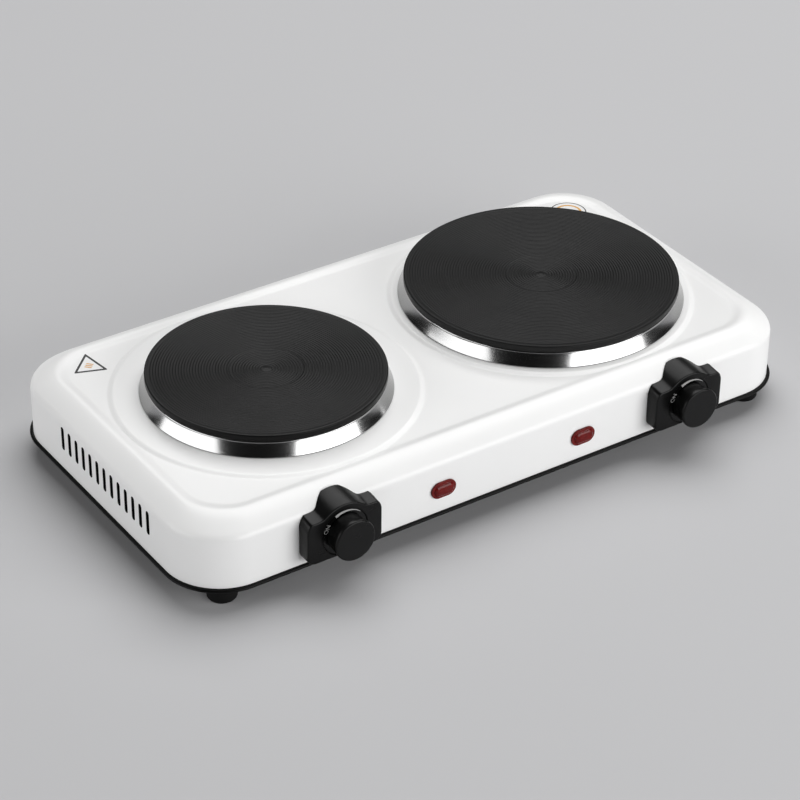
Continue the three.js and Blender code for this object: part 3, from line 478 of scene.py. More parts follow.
foot_low, foot_high = box_mm("foot_front_left")
foot_r = (foot_high.x - foot_low.x) / 2
foot_section = [(BORE_R, BORE_CHAMFER), (BORE_R + BORE_CHAMFER, 0.0)]
foot_section += arc(foot_r - FOOT_TAPER - FOOT_ROUND, FOOT_ROUND, FOOT_ROUND, -90, 0, 6)
foot_section += [(foot_r, foot_high.z - FOOT_TOP_CHAMFER), (foot_r - FOOT_TOP_CHAMFER, foot_high.z)]
foot_section += [(SCREW_R + SCREW_PLAY, foot_high.z), (SCREW_R + SCREW_PLAY, BORE_H), (BORE_R, BORE_H)]
one_foot = smooth(turned("one_foot", foot_section, FOOT_SIDES, closed=True))
at_corners("rubber_feet", one_foot, "foot", rubber, "rubber")
for name, like in (("foot_screws", "foot_screw"), ("tray_screws", "base_screw")):
    low, high = box_mm(like + "_front_left")
    at_corners(name, screw(low.z, low.z + SCREW_HEAD_H, high.z), like, zinc, "zinc_steel")

# ------------------------------------------------------------------------------------------------
# Inner parts: thermostats, lamp bodies, terminal block, leads, heaters and the clamps under the
# plates. They are bought-in parts, bolted or clipped inside, and show only through slots.
# ------------------------------------------------------------------------------------------------


def dress(material, *nodes):
    """Gives CAD nodes that stay their finish."""
    for node in nodes:
        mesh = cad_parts[node].data
        mesh.materials.clear()
        mesh.materials.append(material)


def glazed_ceramic():
    """Cream steatite: hard, slightly speckled, half glazed."""
    material, tree, shader, where = new_finish("glazed_ceramic", (0.72, 0.68, 0.58), 0.5)
    mottle(tree, shader, where, 380.0, (0.62, 0.58, 0.48), (0.76, 0.73, 0.64), (0.38, 0.6))
    grain(tree, shader, where, 900.0, 0.03)
    return material


def heater_fibre():
    """Pressed mineral fibre behind the heating coil, matt and hairy."""
    material, tree, shader, where = new_finish("heater_fibre", (0.30, 0.27, 0.21), 0.95)
    mottle(tree, shader, where, 500.0, (0.20, 0.18, 0.14), (0.38, 0.35, 0.28), (0.85, 1.0))
    grain(tree, shader, where, 1600.0, 0.15)
    return material


def glass_sleeve():
    """Woven glass sleeving over the leads: a fine diagonal braid."""
    material, tree, shader, where = new_finish("glass_sleeve", (0.66, 0.62, 0.52), 0.7)
    mottle(tree, shader, where, 300.0, (0.56, 0.52, 0.42), (0.72, 0.69, 0.60), (0.6, 0.8))
    weave = grow(tree, "ShaderNodeTexWave", {
        "Vector": where, "Scale": 260.0, "Distortion": 0.6,
    }, bands_direction="DIAGONAL")
    bump = grow(tree, "ShaderNodeBump", {
        "Height": weave.outputs["Fac"], "Strength": 0.8, "Distance": 0.15 * MM,
    })
    tree.links.new(bump.outputs[0], shader.inputs["Normal"])
    return material


def earth_brass():
    """Plain brass, slightly dulled."""
    material, tree, shader, where = new_finish("earth_brass", (0.62, 0.42, 0.14), 0.35, 1.0)
    mottle(tree, shader, where, 300.0, (0.50, 0.33, 0.10), (0.68, 0.48, 0.18), (0.25, 0.45))
    grain(tree, shader, where, 1500.0, 0.01)
    return material


def moulded_black():
    """Black heat-resistant plastic with a fine spark-eroded grain, satin all over."""
    material, tree, shader, where = new_finish("moulded_black", grey(0.003), 0.3, specular_ior_level=0.2)
    mottle(tree, shader, where, 60.0, grey(0.002), grey(0.004), (0.26, 0.35))
    fine = grain(tree, shader, where, 3200.0, 0.010)
    grain(tree, shader, where, 260.0, 0.012, under=fine)
    return material


black_plastic = moulded_black()
dress(glazed_ceramic(), "thermostat_left", "thermostat_right", "terminal_block")
dress(heater_fibre(), "small_heater", "large_heater")
dress(glass_sleeve(), "supply_lead_left", "supply_lead_right", "heater_lead_left", "heater_lead_right")
dress(earth_brass(), "earth_screw")
dress(black_plastic, "pilot_lamp_left", "pilot_lamp_right")
for size in ("small", "large"):
    dress(zinc, size + "_bridge", size + "_stud_nut", size + "_heat_shield")
for name in ("left", "right"):
    dress(zinc, "control_shaft_" + name, f"thermostat_screw_{name}_a", f"thermostat_screw_{name}_b")

# ------------------------------------------------------------------------------------------------
# Housing: one drawn sheet steel shell, gloss white enamel outside. Its shoulder rises to a rolled
# rim, the panel inside the rim is recessed, and a round platform is raised under each hot plate.
# A pair such as RIM_OUTER is (further in, further up) from the edge that it is named after.
# ------------------------------------------------------------------------------------------------

WALL_H = 36.0
WALL_EDGE = 1.0
CREASE_START = 4.0
CREASE_END = (2.6, 1.9)
SHOULDER_HEAD = (8.6, 7.1)
SHOULDER_RISE = 9.2
RIM_INSET = 15.6
RIM_OUTER = (-2.2, -0.5)
RIM_HEAD = (0.3, 0.2)
RIM_INNER = (2.8, -0.6)
RIM_FOOT = 5.2
RIM_DROP = 1.4
PANEL_INSET = 22.4
PLATFORM_RISE = 1.5
PLATFORM_EDGE = 2.2
PLATFORM_SIDES = 160
SMALL_PLATFORM_MARGIN = 22.0
LARGE_PLATFORM_MARGIN = 9.5
PLATE_OVERHANG = 7.0
HOLE_CLEARANCE = 1.2
RING_FOOT_REACH = 4.5
VENTS = 13
VENT_PITCH = 9.06
VENT_WIDTH = 3.8
VENT_HEIGHT = 17.2
VENT_RISE = 23.0
VENT_FORWARD = 6.2
TAB_LENGTH = 16.0
TAB_REACH = 13.0
BLEND_POWER = 6

WALL_Z = box_mm("top_housing")[0].z
CREASE_Z = WALL_Z + WALL_H
RIM_Z = CREASE_Z + SHOULDER_RISE
PANEL_Z = RIM_Z - RIM_DROP
FRONT_Y = MIDDLE_Y - HALF_Y
REAR_Y = MIDDLE_Y + HALF_Y


def bend(a, b, c, steps):
    """Points on a quadratic curve from a to c that heads for b."""
    ts = [i / steps for i in range(steps + 1)]
    return [tuple((1 - t) ** 2 * a[k] + 2 * t * (1 - t) * b[k] + t * t * c[k] for k in (0, 1)) for t in ts]


crease = (CREASE_END[0], CREASE_Z + CREASE_END[1])
rim_outer = (RIM_INSET + RIM_OUTER[0], RIM_Z + RIM_OUTER[1])
rim_inner = (RIM_INSET + RIM_INNER[0], RIM_Z + RIM_INNER[1])
shoulder = [(0, WALL_Z), (0, WALL_Z + WALL_EDGE), (0, CREASE_Z - CREASE_START - 1.0)]
shoulder += bend((0, CREASE_Z - CREASE_START), (0, CREASE_Z - 0.4), crease, 12)
shoulder += bend(crease, (SHOULDER_HEAD[0], CREASE_Z + SHOULDER_HEAD[1]), rim_outer, 12)[1:]
crest = bend(rim_outer, (RIM_INSET + RIM_HEAD[0], RIM_Z + RIM_HEAD[1]), rim_inner, 8)
crest += bend(rim_inner, (RIM_INSET + RIM_FOOT, PANEL_Z), (PANEL_INSET, PANEL_Z), 8)[1:]
PLATFORMS = []
for size, margin in (("small", SMALL_PLATFORM_MARGIN), ("large", LARGE_PLATFORM_MARGIN)):
    low, high = box_mm(size + "_plate")
    plate_r = (high.x - low.x) / 2
    PLATFORMS.append((PLATE_X[size], plate_r + margin, plate_r - PLATE_OVERHANG + HOLE_CLEARANCE, plate_r))


def inset_at(x, y):
    """How far inside the wall a point is, measured in the housing's own family of outlines."""
    ax, ay = abs(x), abs(y - MIDDLE_Y)
    low, high = 0.0, HALF_Y
    for _ in range(40):
        inset = (low + high) / 2
        radius = CORNER_R - CORNER_EASE * inset
        qx, qy = ax - (HALF_X - inset - radius), ay - (HALF_Y - inset - radius)
        inside = math.hypot(max(qx, 0), max(qy, 0)) + min(max(qx, qy), 0) < radius
        low, high = (inset, high) if inside else (low, inset)
    return low


def panel_height(x, y):
    """Height of the pressed top: the rim's inner slope and the platforms, blended where they meet."""
    inset = inset_at(x, y)
    rim = float(np.interp(inset, [p[0] for p in crest], [p[1] for p in crest])) - PANEL_Z
    raised = 0.0
    for cx, edge, _, _ in PLATFORMS:
        t = (math.hypot(x - cx, y - MIDDLE_Y) - edge) / (2 * PLATFORM_EDGE) + 0.5
        t = min(max(t, 0.0), 1.0)
        raised = max(raised, PLATFORM_RISE * (1 - t * t * (3 - 2 * t)))
    return PANEL_Z + (max(rim, 0.0) ** BLEND_POWER + raised ** BLEND_POWER) ** (1 / BLEND_POWER)


def pressed_top():
    """Corners and faces of the top inside the crest, its lines following the rim and platforms."""
    flat, edges = [], []

    def line(points):
        start = len(flat)
        flat.extend(Vector(p) for p in points)
        edges.extend((start + i, start + (i + 1) % len(points)) for i in range(len(points)))

    for inset, _ in crest:
        line(wall_outline(inset))
    turn = [2 * math.pi * i / PLATFORM_SIDES for i in range(PLATFORM_SIDES)]
    for cx, edge, hole, plate_r in PLATFORMS:
        shares = (1.15, 1, 0.8, 0.6, 0.4, 0.2, 0, -0.2, -0.4, -0.6, -0.8, -1, -1.15)
        for radius in [edge + PLATFORM_EDGE * share for share in shares] + [plate_r + RING_FOOT_REACH, hole]:
            line([(cx + radius * math.cos(a), MIDDLE_Y + radius * math.sin(a)) for a in turn])
    points, _, faces = delaunay_2d_cdt(flat, edges, [], 0, 1e-3, False)[:3]
    rim_inset = crest[0][0]
    kept = []
    for face in faces:
        cx, cy = (sum(points[i][k] for i in face) / len(face) for k in (0, 1))
        in_hole = any(math.hypot(cx - px, cy - MIDDLE_Y) < hole * 0.9995 for px, _, hole, _ in PLATFORMS)
        if not in_hole and inset_at(cx, cy) > rim_inset:
            kept.append(tuple(face))
    return [(p[0], p[1], panel_height(p[0], p[1])) for p in points], kept


def gloss_white_enamel():
    """Thick white gloss enamel: almost even, with a faint orange peel and a clear, wet surface."""
    material, tree, shader, where = new_finish(
        "gloss_white_enamel", (0.89, 0.89, 0.88), 0.32,
        specular_ior_level=0.4, coat_weight=0.12, coat_roughness=0.18)
    mottle(tree, shader, where, 9.0, (0.87, 0.87, 0.865), (0.91, 0.91, 0.905), (0.28, 0.38))
    fine = grain(tree, shader, where, 900.0, 0.004)
    grain(tree, shader, where, 140.0, 0.010, under=fine)
    return material


def ground_coat_painted_shade():
    """The dark first coat of enamel, left bare inside the shell and on its cut edges, made near black so that
    it also paints the shade inside the shell seen through the vents and holes.
    """
    material, tree, shader, where = new_finish(
        "ground_coat_painted_shade", (0.006, 0.006, 0.007), 0.6, specular_ior_level=0.2)
    mottle(tree, shader, where, 60.0, (0.004, 0.004, 0.005), (0.010, 0.010, 0.011), (0.5, 0.7))
    grain(tree, shader, where, 900.0, 0.02)
    return material


white_enamel = gloss_white_enamel()
rings = [[(x, y, h) for x, y in wall_outline(inset)] for inset, h in shoulder]
shell = stacked("pressed_housing", rings, cap_first=False, cap_last=False)
top_points, top_faces = pressed_top()
top = new_piece("pressed_top", top_points, top_faces)
joined = bmesh.new()
joined.from_mesh(shell.data)
joined.from_mesh(top.data)
bmesh.ops.remove_doubles(joined, verts=joined.verts, dist=0.005 * MM)
bmesh.ops.delete(joined, geom=[v for v in joined.verts if not v.link_faces], context="VERTS")
bmesh.ops.recalc_face_normals(joined, faces=joined.faces)
if max(joined.faces, key=lambda f: f.calc_center_median().z).normal.z < 0:
    bmesh.ops.reverse_faces(joined, faces=joined.faces)
joined.to_mesh(shell.data)
joined.free()
bpy.data.objects.remove(top)
wall = shell.modifiers.new("sheet", "SOLIDIFY")
wall.thickness = STEEL * MM
wall.offset = -1.0
wall.use_even_offset = True
settle(shell)

screw_low, screw_high = box_mm("base_screw_front_right")
for sx in (-1, 1):
    for sy in (-1, 1):
        x = sx * (screw_low.x + screw_high.x) / 2
        x0, x1 = x - TAB_LENGTH / 2, x + TAB_LENGTH / 2
        y0 = MIDDLE_Y + sy * (HALF_Y - STEEL - TAB_REACH)
        y1 = MIDDLE_Y + sy * (HALF_Y - STEEL * 0.5)
        tab = [[(x0, y0, h), (x1, y0, h), (x1, y1, h), (x0, y1, h)] for h in (WALL_Z, WALL_Z + STEEL)]
        cut(shell, stacked("tab", tab), "UNION")
for side in (-1, 1):
    vent_x = side * HALF_X - PUNCH_DEPTH / 2
    vents = made_by(slot_row, "vent_punches", {
        "Count": VENTS,
        "Width": VENT_WIDTH * MM,
        "Length": VENT_HEIGHT * MM,
        "Depth": PUNCH_DEPTH * MM,
        "Middle": (vent_x * MM, (MIDDLE_Y - VENT_FORWARD) * MM, (WALL_Z + VENT_RISE) * MM),
        "Step": (0, VENT_PITCH * MM, 0),
        "Turn": (math.pi / 2, 0, math.pi / 2),
    })
    cut(shell, vents)

# Openings behind the bezels and lamps, and for the cable gland.
KNOB_SIDES = 96
knob_low, knob_high = box_mm("knob_right")
lens_low, lens_high = box_mm("pilot_lens_right")
gland_low, gland_high = box_mm("cable_gland")
KNOB_X, KNOB_Z = (knob_low.x + knob_high.x) / 2, (knob_low.z + knob_high.z) / 2
LENS_X, LENS_Z = (lens_low.x + lens_high.x) / 2, (lens_low.z + lens_high.z) / 2
GLAND_X, GLAND_Z = (gland_low.x + gland_high.x) / 2, (gland_low.z + gland_high.z) / 2
BUSH_HOLE_R = 5.3
FIXING_X = 11.0
FIXING_HOLE_R = 1.8
WINDOW = (13.2, 7.6)
GLAND_HOLE_R = 7.3


def rod(name, radius, y0, y1, x, z, sides=KNOB_SIDES):
    """A plain round bar along Y, for cutting."""
    return turned(name, [(0, y0), (radius, y0), (radius, y1), (0, y1)], sides, x, z, along_y=True)


def stadium(width, height, x, z, steps=16):
    """An outline with round ends, drawn on the front."""
    radius, along = height / 2, (width - height) / 2
    right = arc(x + along, z, radius, -90, 90, steps)
    return right + arc(x - along, z, radius, 90, 270, steps)


def bar(name, outline, y0, y1):
    """A bar of any outline along Y, for cutting."""
    return stacked(name, [[(x, y, z) for x, z in outline] for y in (y0, y1)])


for side in (-1, 1):
    x, front, back = side * KNOB_X, FRONT_Y - 1, FRONT_Y + 2
    cut(shell, rod("bush_hole", BUSH_HOLE_R, front, back, x, KNOB_Z, 32))
    for fixing in (-FIXING_X, FIXING_X):
        cut(shell, rod("fixing_hole", FIXING_HOLE_R, front, back, x + fixing, KNOB_Z, 16))
    cut(shell, bar("lamp_window", stadium(*WINDOW, side * LENS_X, LENS_Z, 8), front, back))
cut(shell, rod("gland_hole", GLAND_HOLE_R, REAR_Y - 2, REAR_Y + 1, GLAND_X, GLAND_Z, 48))
fix(smooth(shell, 24.0), white_enamel, "white_enamel", "housing", "top_housing")
shell.data.materials.append(ground_coat_painted_shade())
# Inside faces and cut edges take the near-black ground coat: partly the real first coat, partly painted shade
# for the dim inside of the shell.
straight_top = CREASE_Z - CREASE_START - 0.5
for face in shell.data.polygons:
    x, y, z = face.center / MM
    inside = inset_at(x, y) > STEEL / 4 if z < straight_top else face.normal.z < -0.01
    face.material_index = 1 if inside else 0

# ------------------------------------------------------------------------------------------------
# Trim rings: thin stainless strip spun into a flared ring and polished. Each sits on its platform
# and carries the plate's rim on its rolled-in top edge.
# ------------------------------------------------------------------------------------------------

RING_SIDES = 256
RING_SHEET = 0.7
RING_ROLL = 0.8
RING_SEAT = 0.9
FLARE_HEAD = (1.52, 4.14)


def polished_stainless():
    """Polished stainless steel, with the faint level lines that spinning leaves."""
    material, tree, shader, where = new_finish("polished_stainless", (0.44, 0.44, 0.44), 0.16, 1.0)
    level = grow(tree, "ShaderNodeMapping", {"Vector": where, "Scale": (0.02, 0.02, 1.0)})
    dark, light = (0.39, 0.39, 0.40), (0.49, 0.49, 0.48)
    mottle(tree, shader, level.outputs[0], 2400.0, dark, light, (0.14, 0.18), 2.0)
    return material


stainless = polished_stainless()
for size, (cx, edge, hole, plate_r) in zip(("small", "large"), PLATFORMS):
    low, high = box_mm(size + "_trim_ring")
    foot = (high.x - low.x) / 2
    heading = (plate_r + FLARE_HEAD[0], low.z + FLARE_HEAD[1])
    flare = bend((plate_r - 0.4, high.z - RING_ROLL), heading, (foot - 0.2, low.z + 0.7), 12)
    outside = arc(plate_r - 0.4 - RING_ROLL, high.z - RING_ROLL, RING_ROLL, 90, 12, 4) + flare
    outside += [(foot, low.z + RING_SHEET / 2), (foot - 0.1, low.z), (foot - 1.2, low.z)]
    inside = [(r - RING_SHEET * 1.2, h - RING_SHEET * 0.5) for r, h in reversed(flare)]
    bore = hole - HOLE_CLEARANCE + RING_SEAT
    section = [(bore, high.z)] + outside + inside
    section += [(plate_r - 1.8, high.z - RING_SHEET), (bore, high.z - RING_SHEET)]
    ring = turned(size + "_flared_ring", section, RING_SIDES, cx, MIDDLE_Y, closed=True)
    fix(smooth(ring, 40.0), stainless, "polished_steel", "housing", size + "_trim_ring")

# ------------------------------------------------------------------------------------------------
# Hot plates: grey iron castings, faced on a lathe so that fine grooves run round the top, stoved
# matt black. A shallow disc is sunk in the middle, and a stud below is drawn down by a nut.
# ------------------------------------------------------------------------------------------------

PLATE_SIDES = 224
GROOVE_PITCH = 1.8
GROOVE_DEPTH = 0.22
GROOVE_STEPS = 6
DISH_R = 24.5
DISH_DEPTH = 0.3
PLATE_THICKNESS = 16.0
HEATER_DEPTH = 6.5
HEATER_HUB_R = 14.0
HEATER_WALL = 6.0
STUD_R = 3.0
EDGE_LAND = 1.6
EDGE_ROUND = 0.9
GROOVE_START = 3.0
DISH_EDGE = 1.6
CENTRE_PIP = ((0.0, 0.25), (0.9, 0.22), (2.0, 0.0))
WAVE_SCALE = 20.0


def turned_face_tree():
    """Fine grooves turned into a disc's face: the face sinks with a wave of the radius."""
    tree, given = sized_tree("turned_face", {
        "Pitch": "Float", "Depth": "Float", "Inner": "Float", "Outer": "Float",
        "Face": "Float", "Middle": "Vector", "Finish": "Material",
    })
    size = given.outputs

    def math_node(operation, *values):
        return grow(tree, "ShaderNodeMath", dict(enumerate(values)), operation=operation).outputs[0]

    place = grow(tree, "GeometryNodeInputPosition").outputs[0]
    out = grow(tree, "ShaderNodeVectorMath", {0: place, 1: size["Middle"]}, operation="SUBTRACT")
    level = grow(tree, "ShaderNodeVectorMath", {0: out.outputs[0], 1: (1, 1, 0)}, operation="MULTIPLY")
    radius = grow(tree, "ShaderNodeVectorMath", {0: level.outputs[0]}, operation="LENGTH").outputs["Value"]
    height = grow(tree, "ShaderNodeSeparateXYZ", {0: place}).outputs[2]
    on_face = math_node("GREATER_THAN", height, size["Face"])
    past = math_node("GREATER_THAN", radius, size["Inner"])
    before = math_node("LESS_THAN", radius, size["Outer"])
    where_cut = math_node("MULTIPLY", math_node("MULTIPLY", past, before), on_face)
    grooves = math_node("DIVIDE", math_node("SUBTRACT", radius, size["Inner"]), size["Pitch"])
    phase = math_node("MULTIPLY", grooves, 2 * math.pi)
    dip = math_node("MULTIPLY", math_node("SUBTRACT", 1.0, math_node("COSINE", phase)), -0.5)
    sink = math_node("MULTIPLY", math_node("MULTIPLY", dip, size["Depth"]), where_cut)
    offset = grow(tree, "ShaderNodeCombineXYZ", {2: sink})
    moved = grow(tree, "GeometryNodeSetPosition", {"Geometry": size["Geometry"], "Offset": offset.outputs[0]})
    return end_tree(tree, given, moved.outputs[0])


def stoved_iron(name, cx):
    """Matt black stoved cast iron: grooves painted darker as painted shade, faint turning lines, cloudy tone,
    fine pores.
    """
    material, tree, shader, where = new_finish(name, grey(0.007), 0.38, specular_ior_level=0.14)
    centred = grow(tree, "ShaderNodeMapping", {"Vector": where, "Location": (-cx * MM, -MIDDLE_Y * MM, 0)})
    mottle(tree, shader, centred.outputs[0], 38.0, grey(0.009), grey(0.017), (0.33, 0.44), 6.0)
    level = grow(tree, "ShaderNodeVectorMath", {0: centred.outputs[0], 1: (1, 1, 0)}, operation="MULTIPLY")

    def rings(scale, distortion, detail):
        return grow(tree, "ShaderNodeTexWave", {
            "Vector": level.outputs[0], "Scale": scale, "Distortion": distortion, "Detail": detail,
        }, wave_type="RINGS", rings_direction="SPHERICAL").outputs["Fac"]

    grooves = rings(2 * math.pi / (WAVE_SCALE * GROOVE_PITCH * MM), 0.0, 2.0)
    cloud = shader.inputs["Base Color"].links[0].from_socket
    # Painted shade: the colour is pulled to near black along the turned grooves, standing in for the shade in
    # their hollows.
    painted_groove_shade = grow(tree, "ShaderNodeMix", {0: grooves, 6: (*grey(0.002), 1), 7: cloud}, data_type="RGBA")
    tree.links.new(painted_groove_shade.outputs[2], shader.inputs["Base Color"])
    lines = grow(tree, "ShaderNodeBump", {
        "Height": rings(580.0, 0.4, 1.0), "Strength": 0.5, "Distance": 0.02 * MM,
    })
    pores = grow(tree, "ShaderNodeTexNoise", {"Vector": where, "Scale": 1500.0, "Detail": 3.0})
    rough = grow(tree, "ShaderNodeBump", {
        "Height": pores.outputs[0], "Strength": 0.7, "Distance": 0.03 * MM, "Normal": lines.outputs[0],
    })
    tree.links.new(rough.outputs[0], shader.inputs["Normal"])
    return material


turned_face = turned_face_tree()
for size, (cx, _, _, plate_r) in zip(("small", "large"), PLATFORMS):
    low, high = box_mm(size + "_plate")
    top, band = high.z, box_mm(size + "_trim_ring")[1].z + 0.3
    body, bottom = plate_r - PLATE_OVERHANG, high.z - PLATE_THICKNESS
    section = [(radius, top - DISH_DEPTH + rise) for radius, rise in CENTRE_PIP]
    rings_across = int((plate_r - EDGE_LAND - GROOVE_START) / GROOVE_PITCH)
    last = GROOVE_START + rings_across * GROOVE_PITCH
    for i in range(rings_across * GROOVE_STEPS + 1):
        radius = GROOVE_START + GROOVE_PITCH * i / GROOVE_STEPS
        t = min(max((radius - DISH_R + DISH_EDGE) / DISH_EDGE, 0.0), 1.0)
        section.append((radius, top - DISH_DEPTH * (1 - t * t * (3 - 2 * t))))
    section += [(plate_r - 1.2, top)] + arc(plate_r - EDGE_ROUND, top - EDGE_ROUND, EDGE_ROUND, 90, 0, 6)
    section += [(plate_r, band + 0.4), (plate_r - 0.4, band), (body, band), (body, bottom)]
    section += [(body - HEATER_WALL, bottom), (body - HEATER_WALL, bottom + HEATER_DEPTH)]
    section += [(HEATER_HUB_R, bottom + HEATER_DEPTH), (HEATER_HUB_R, bottom)]
    section += [(STUD_R, bottom), (STUD_R, low.z + 0.8), (STUD_R - 0.8, low.z), (0, low.z)]
    blank = turned("blank", section, PLATE_SIDES, cx, MIDDLE_Y)
    cutting = blank.modifiers.new("sizes", "NODES")
    cutting.node_group = turned_face
    sizes = {
        "Pitch": GROOVE_PITCH * MM,
        "Depth": GROOVE_DEPTH * MM,
        "Inner": GROOVE_START * MM,
        "Outer": last * MM,
        "Face": (top - 2 * DISH_DEPTH) * MM,
        "Middle": (cx * MM, MIDDLE_Y * MM, 0.0),
    }
    for item in turned_face.interface.items_tree:
        if item.name in sizes:
            cutting[item.identifier] = sizes[item.name]
    settle(blank)
    blank.name = size + "_hot_plate"
    fix(smooth(blank, 50.0), stoved_iron(size + "_stoved_iron", cx), "cast_iron", "housing", size + "_plate")

# ------------------------------------------------------------------------------------------------
# Bezels: moulded black plastic cowls, one behind each knob, hooked over the shoulder and held by
# the thermostat's bush. A hump stands over the glossy dial, whose word and arc are printed white.
# ------------------------------------------------------------------------------------------------

BEZEL_HALF_W = 26.7
BEZEL_DEPTH = 18.2
BEZEL_CORNER = 5.5
BEZEL_TOP_CORNER = (3.7, 6.0)
BEZEL_HUMP_R = 20.0
BEZEL_HUMP_BLEND = 2.0
BEZEL_FLANK_DROP = 1.8
BEZEL_LIFT = 2.4
BEZEL_WALL = 2.6
BEZEL_TOP_STEPS = 56
BEZEL_EDGE = 0.9
FIT_GAP = 0.3
DIAL_R = 16.0
DIAL_DEPTH = 0.6
DIAL_CHAMFER = (0.5, 0.35)
DIAL_DRAFT = 0.15
DIAL_PLATE_T = 0.2
DIAL_PLATE_GAP = 0.4
HUB_HOLE_R = 5.7
HUB_HOLE_GAP = 0.5
BOSS_R = 7.4
PRINT_T = 0.05
PRINT_LIFT = 0.02
ARC_R = 15.5
ARC_FROM = 117.0
ARC_TO = 44.0
ARC_WIDTH = 2.1
ARC_TAPER = 0.92
ARC_STEPS = 36
WORD_R = 14.0
WORD_AT = 155.0
WORD_HEIGHT = 4.2
BEZEL_BOTTOM = box_mm("bezel_left")[0].z
BEZEL_Y = box_mm("bezel_left")[0].y


def bezel_top(u):
    """The front top edge at a distance from the knob axis: a round hump running into level flanks."""
    flank = CREASE_Z - BEZEL_FLANK_DROP
    hump = KNOB_Z + math.sqrt(max(BEZEL_HUMP_R ** 2 - u ** 2, 0.0))
    return (hump + flank + math.hypot(hump - flank, BEZEL_HUMP_BLEND)) / 2


def bezel_outline(inset, back):
    """The cowl's outline at a distance back from its face: its top edge rises as it goes back."""
    half, low = BEZEL_HALF_W - inset, BEZEL_BOTTOM + inset
    rise = BEZEL_LIFT * back / BEZEL_DEPTH - inset
    wide, tall = BEZEL_TOP_CORNER
    flat = half - wide
    side = bend((half - BEZEL_CORNER, low), (half - 0.6, low + 0.6), (half, low + BEZEL_CORNER), 8)
    height = bezel_top(flat) + rise
    side += bend((half, height - tall), (half - 0.8, height - 1.2), (flat, height), 8)
    turn = [flat - 2 * flat * i / BEZEL_TOP_STEPS for i in range(1, BEZEL_TOP_STEPS)]
    return side + [(u, bezel_top(abs(u)) + rise) for u in turn] + [(-u, h) for u, h in reversed(side)]


def bezel_body(x, inset, levels):
    """Outlines stacked from front to back; a level is (distance back, extra inset)."""
    rings = []
    for back, extra in levels:
        rings.append([(x + u, BEZEL_Y + back, h) for u, h in bezel_outline(inset + extra, back)])
    return stacked("bezel_body", rings)


def housing_form(clearance):
    """The housing's outside as a closed solid, a little larger, to fit a piece over it."""
    section = [(-clearance, WALL_Z - 6), (-clearance, CREASE_Z - 9)]
    section += [(inset - clearance, h + clearance * 0.6) for inset, h in shoulder[3:] + crest]
    return stacked_outlines("housing_form", section)


def dial_white():
    """White pad-printing ink, slightly worn and uneven."""
    material, tree, shader, where = new_finish("dial_white", grey(0.42), 0.5)
    mottle(tree, shader, where, 900.0, grey(0.34), (0.50, 0.50, 0.49), (0.42, 0.6))
    grain(tree, shader, where, 2400.0, 0.006)
    return material


def gloss_dial_black():
    """The dial's own smooth black face, glossier than the cowl round it."""
    material, tree, shader, where = new_finish(
        "gloss_dial_black", grey(0.003), 0.2, specular_ior_level=0.25)
    mottle(tree, shader, where, 80.0, grey(0.002), grey(0.004), (0.16, 0.24))
    grain(tree, shader, where, 1500.0, 0.002)
    return material


def tapering_arc(name, x, y):
    """The printed arc: widest where the heat begins and nearly a point where it ends."""
    outer, inner = [], []
    for step in range(ARC_STEPS + 1):
        share = step / ARC_STEPS
        angle = math.radians(ARC_FROM + (ARC_TO - ARC_FROM) * share)
        width = ARC_WIDTH * (1 - ARC_TAPER * share)
        for radius, row in ((ARC_R, outer), (ARC_R - width, inner)):
            row.append((x + radius * math.cos(angle), KNOB_Z + radius * math.sin(angle)))
    outline = outer + inner[::-1]
    count = len(outline)
    points = [(u, level, h) for level in (y - PRINT_T, y) for u, h in outline]
    faces = [(i, (i + 1) % count, count + (i + 1) % count, count + i) for i in range(count)]
    for i in range(ARC_STEPS):
        quad = (i, i + 1, count - 2 - i, count - 1 - i)
        faces += [quad, tuple(count + k for k in reversed(quad))]
    return close_up(new_piece(name, points, faces))


def printed_word(name, text, x, y):
    """A generic word of printed ink, upright to the knob's axis."""
    letters = bpy.data.curves.new("dial_word", "FONT")
    letters.body = text
    letters.size = WORD_HEIGHT * MM
    letters.extrude = PRINT_T / 2 * MM
    letters.align_x, letters.align_y = "CENTER", "CENTER"
    written = bpy.data.objects.new("dial_word", letters)
    bpy.context.scene.collection.objects.link(written)
    depsgraph = bpy.context.evaluated_depsgraph_get()
    mesh = bpy.data.meshes.new_from_object(written.evaluated_get(depsgraph))
    bpy.data.objects.remove(written)
    tilt = math.radians(WORD_AT)
    u, h = x + WORD_R * math.cos(tilt), KNOB_Z + WORD_R * math.sin(tilt)
    place = Matrix.Translation(Vector((u, y - PRINT_T / 2, h)) * MM)
    turn = Matrix.Rotation(-(tilt - math.pi / 2), 4, "Y")
    stand = Matrix.Rotation(math.pi / 2, 4, "X")
    mesh.transform(place @ turn @ stand)
    word = bpy.data.objects.new(name, mesh)
    bpy.context.scene.collection.objects.link(word)
    return close_up(word)


dial_black = gloss_dial_black()
white_ink = dial_white()
rounding = []
for degrees in (0, 22, 45, 67, 90):
    a = math.radians(degrees)
    rounding.append((BEZEL_EDGE * (1 - math.cos(a)), BEZEL_EDGE * (1 - math.sin(a))))
dial_back = BEZEL_Y + DIAL_DEPTH
dial_y = dial_back - PRINT_LIFT - DIAL_PLATE_T
recess = [(0, BEZEL_Y - 1), (DIAL_R + DIAL_CHAMFER[0], BEZEL_Y - 1), (DIAL_R + DIAL_CHAMFER[0], BEZEL_Y)]
recess += [(DIAL_R, BEZEL_Y + DIAL_CHAMFER[1]), (DIAL_R - DIAL_DRAFT, dial_back), (0, dial_back)]
dial_inner, dial_outer = HUB_HOLE_R + HUB_HOLE_GAP, DIAL_R - DIAL_PLATE_GAP
disc = [(dial_inner, dial_y), (dial_outer, dial_y)]
disc += [(dial_outer, dial_y + DIAL_PLATE_T), (dial_inner, dial_y + DIAL_PLATE_T)]
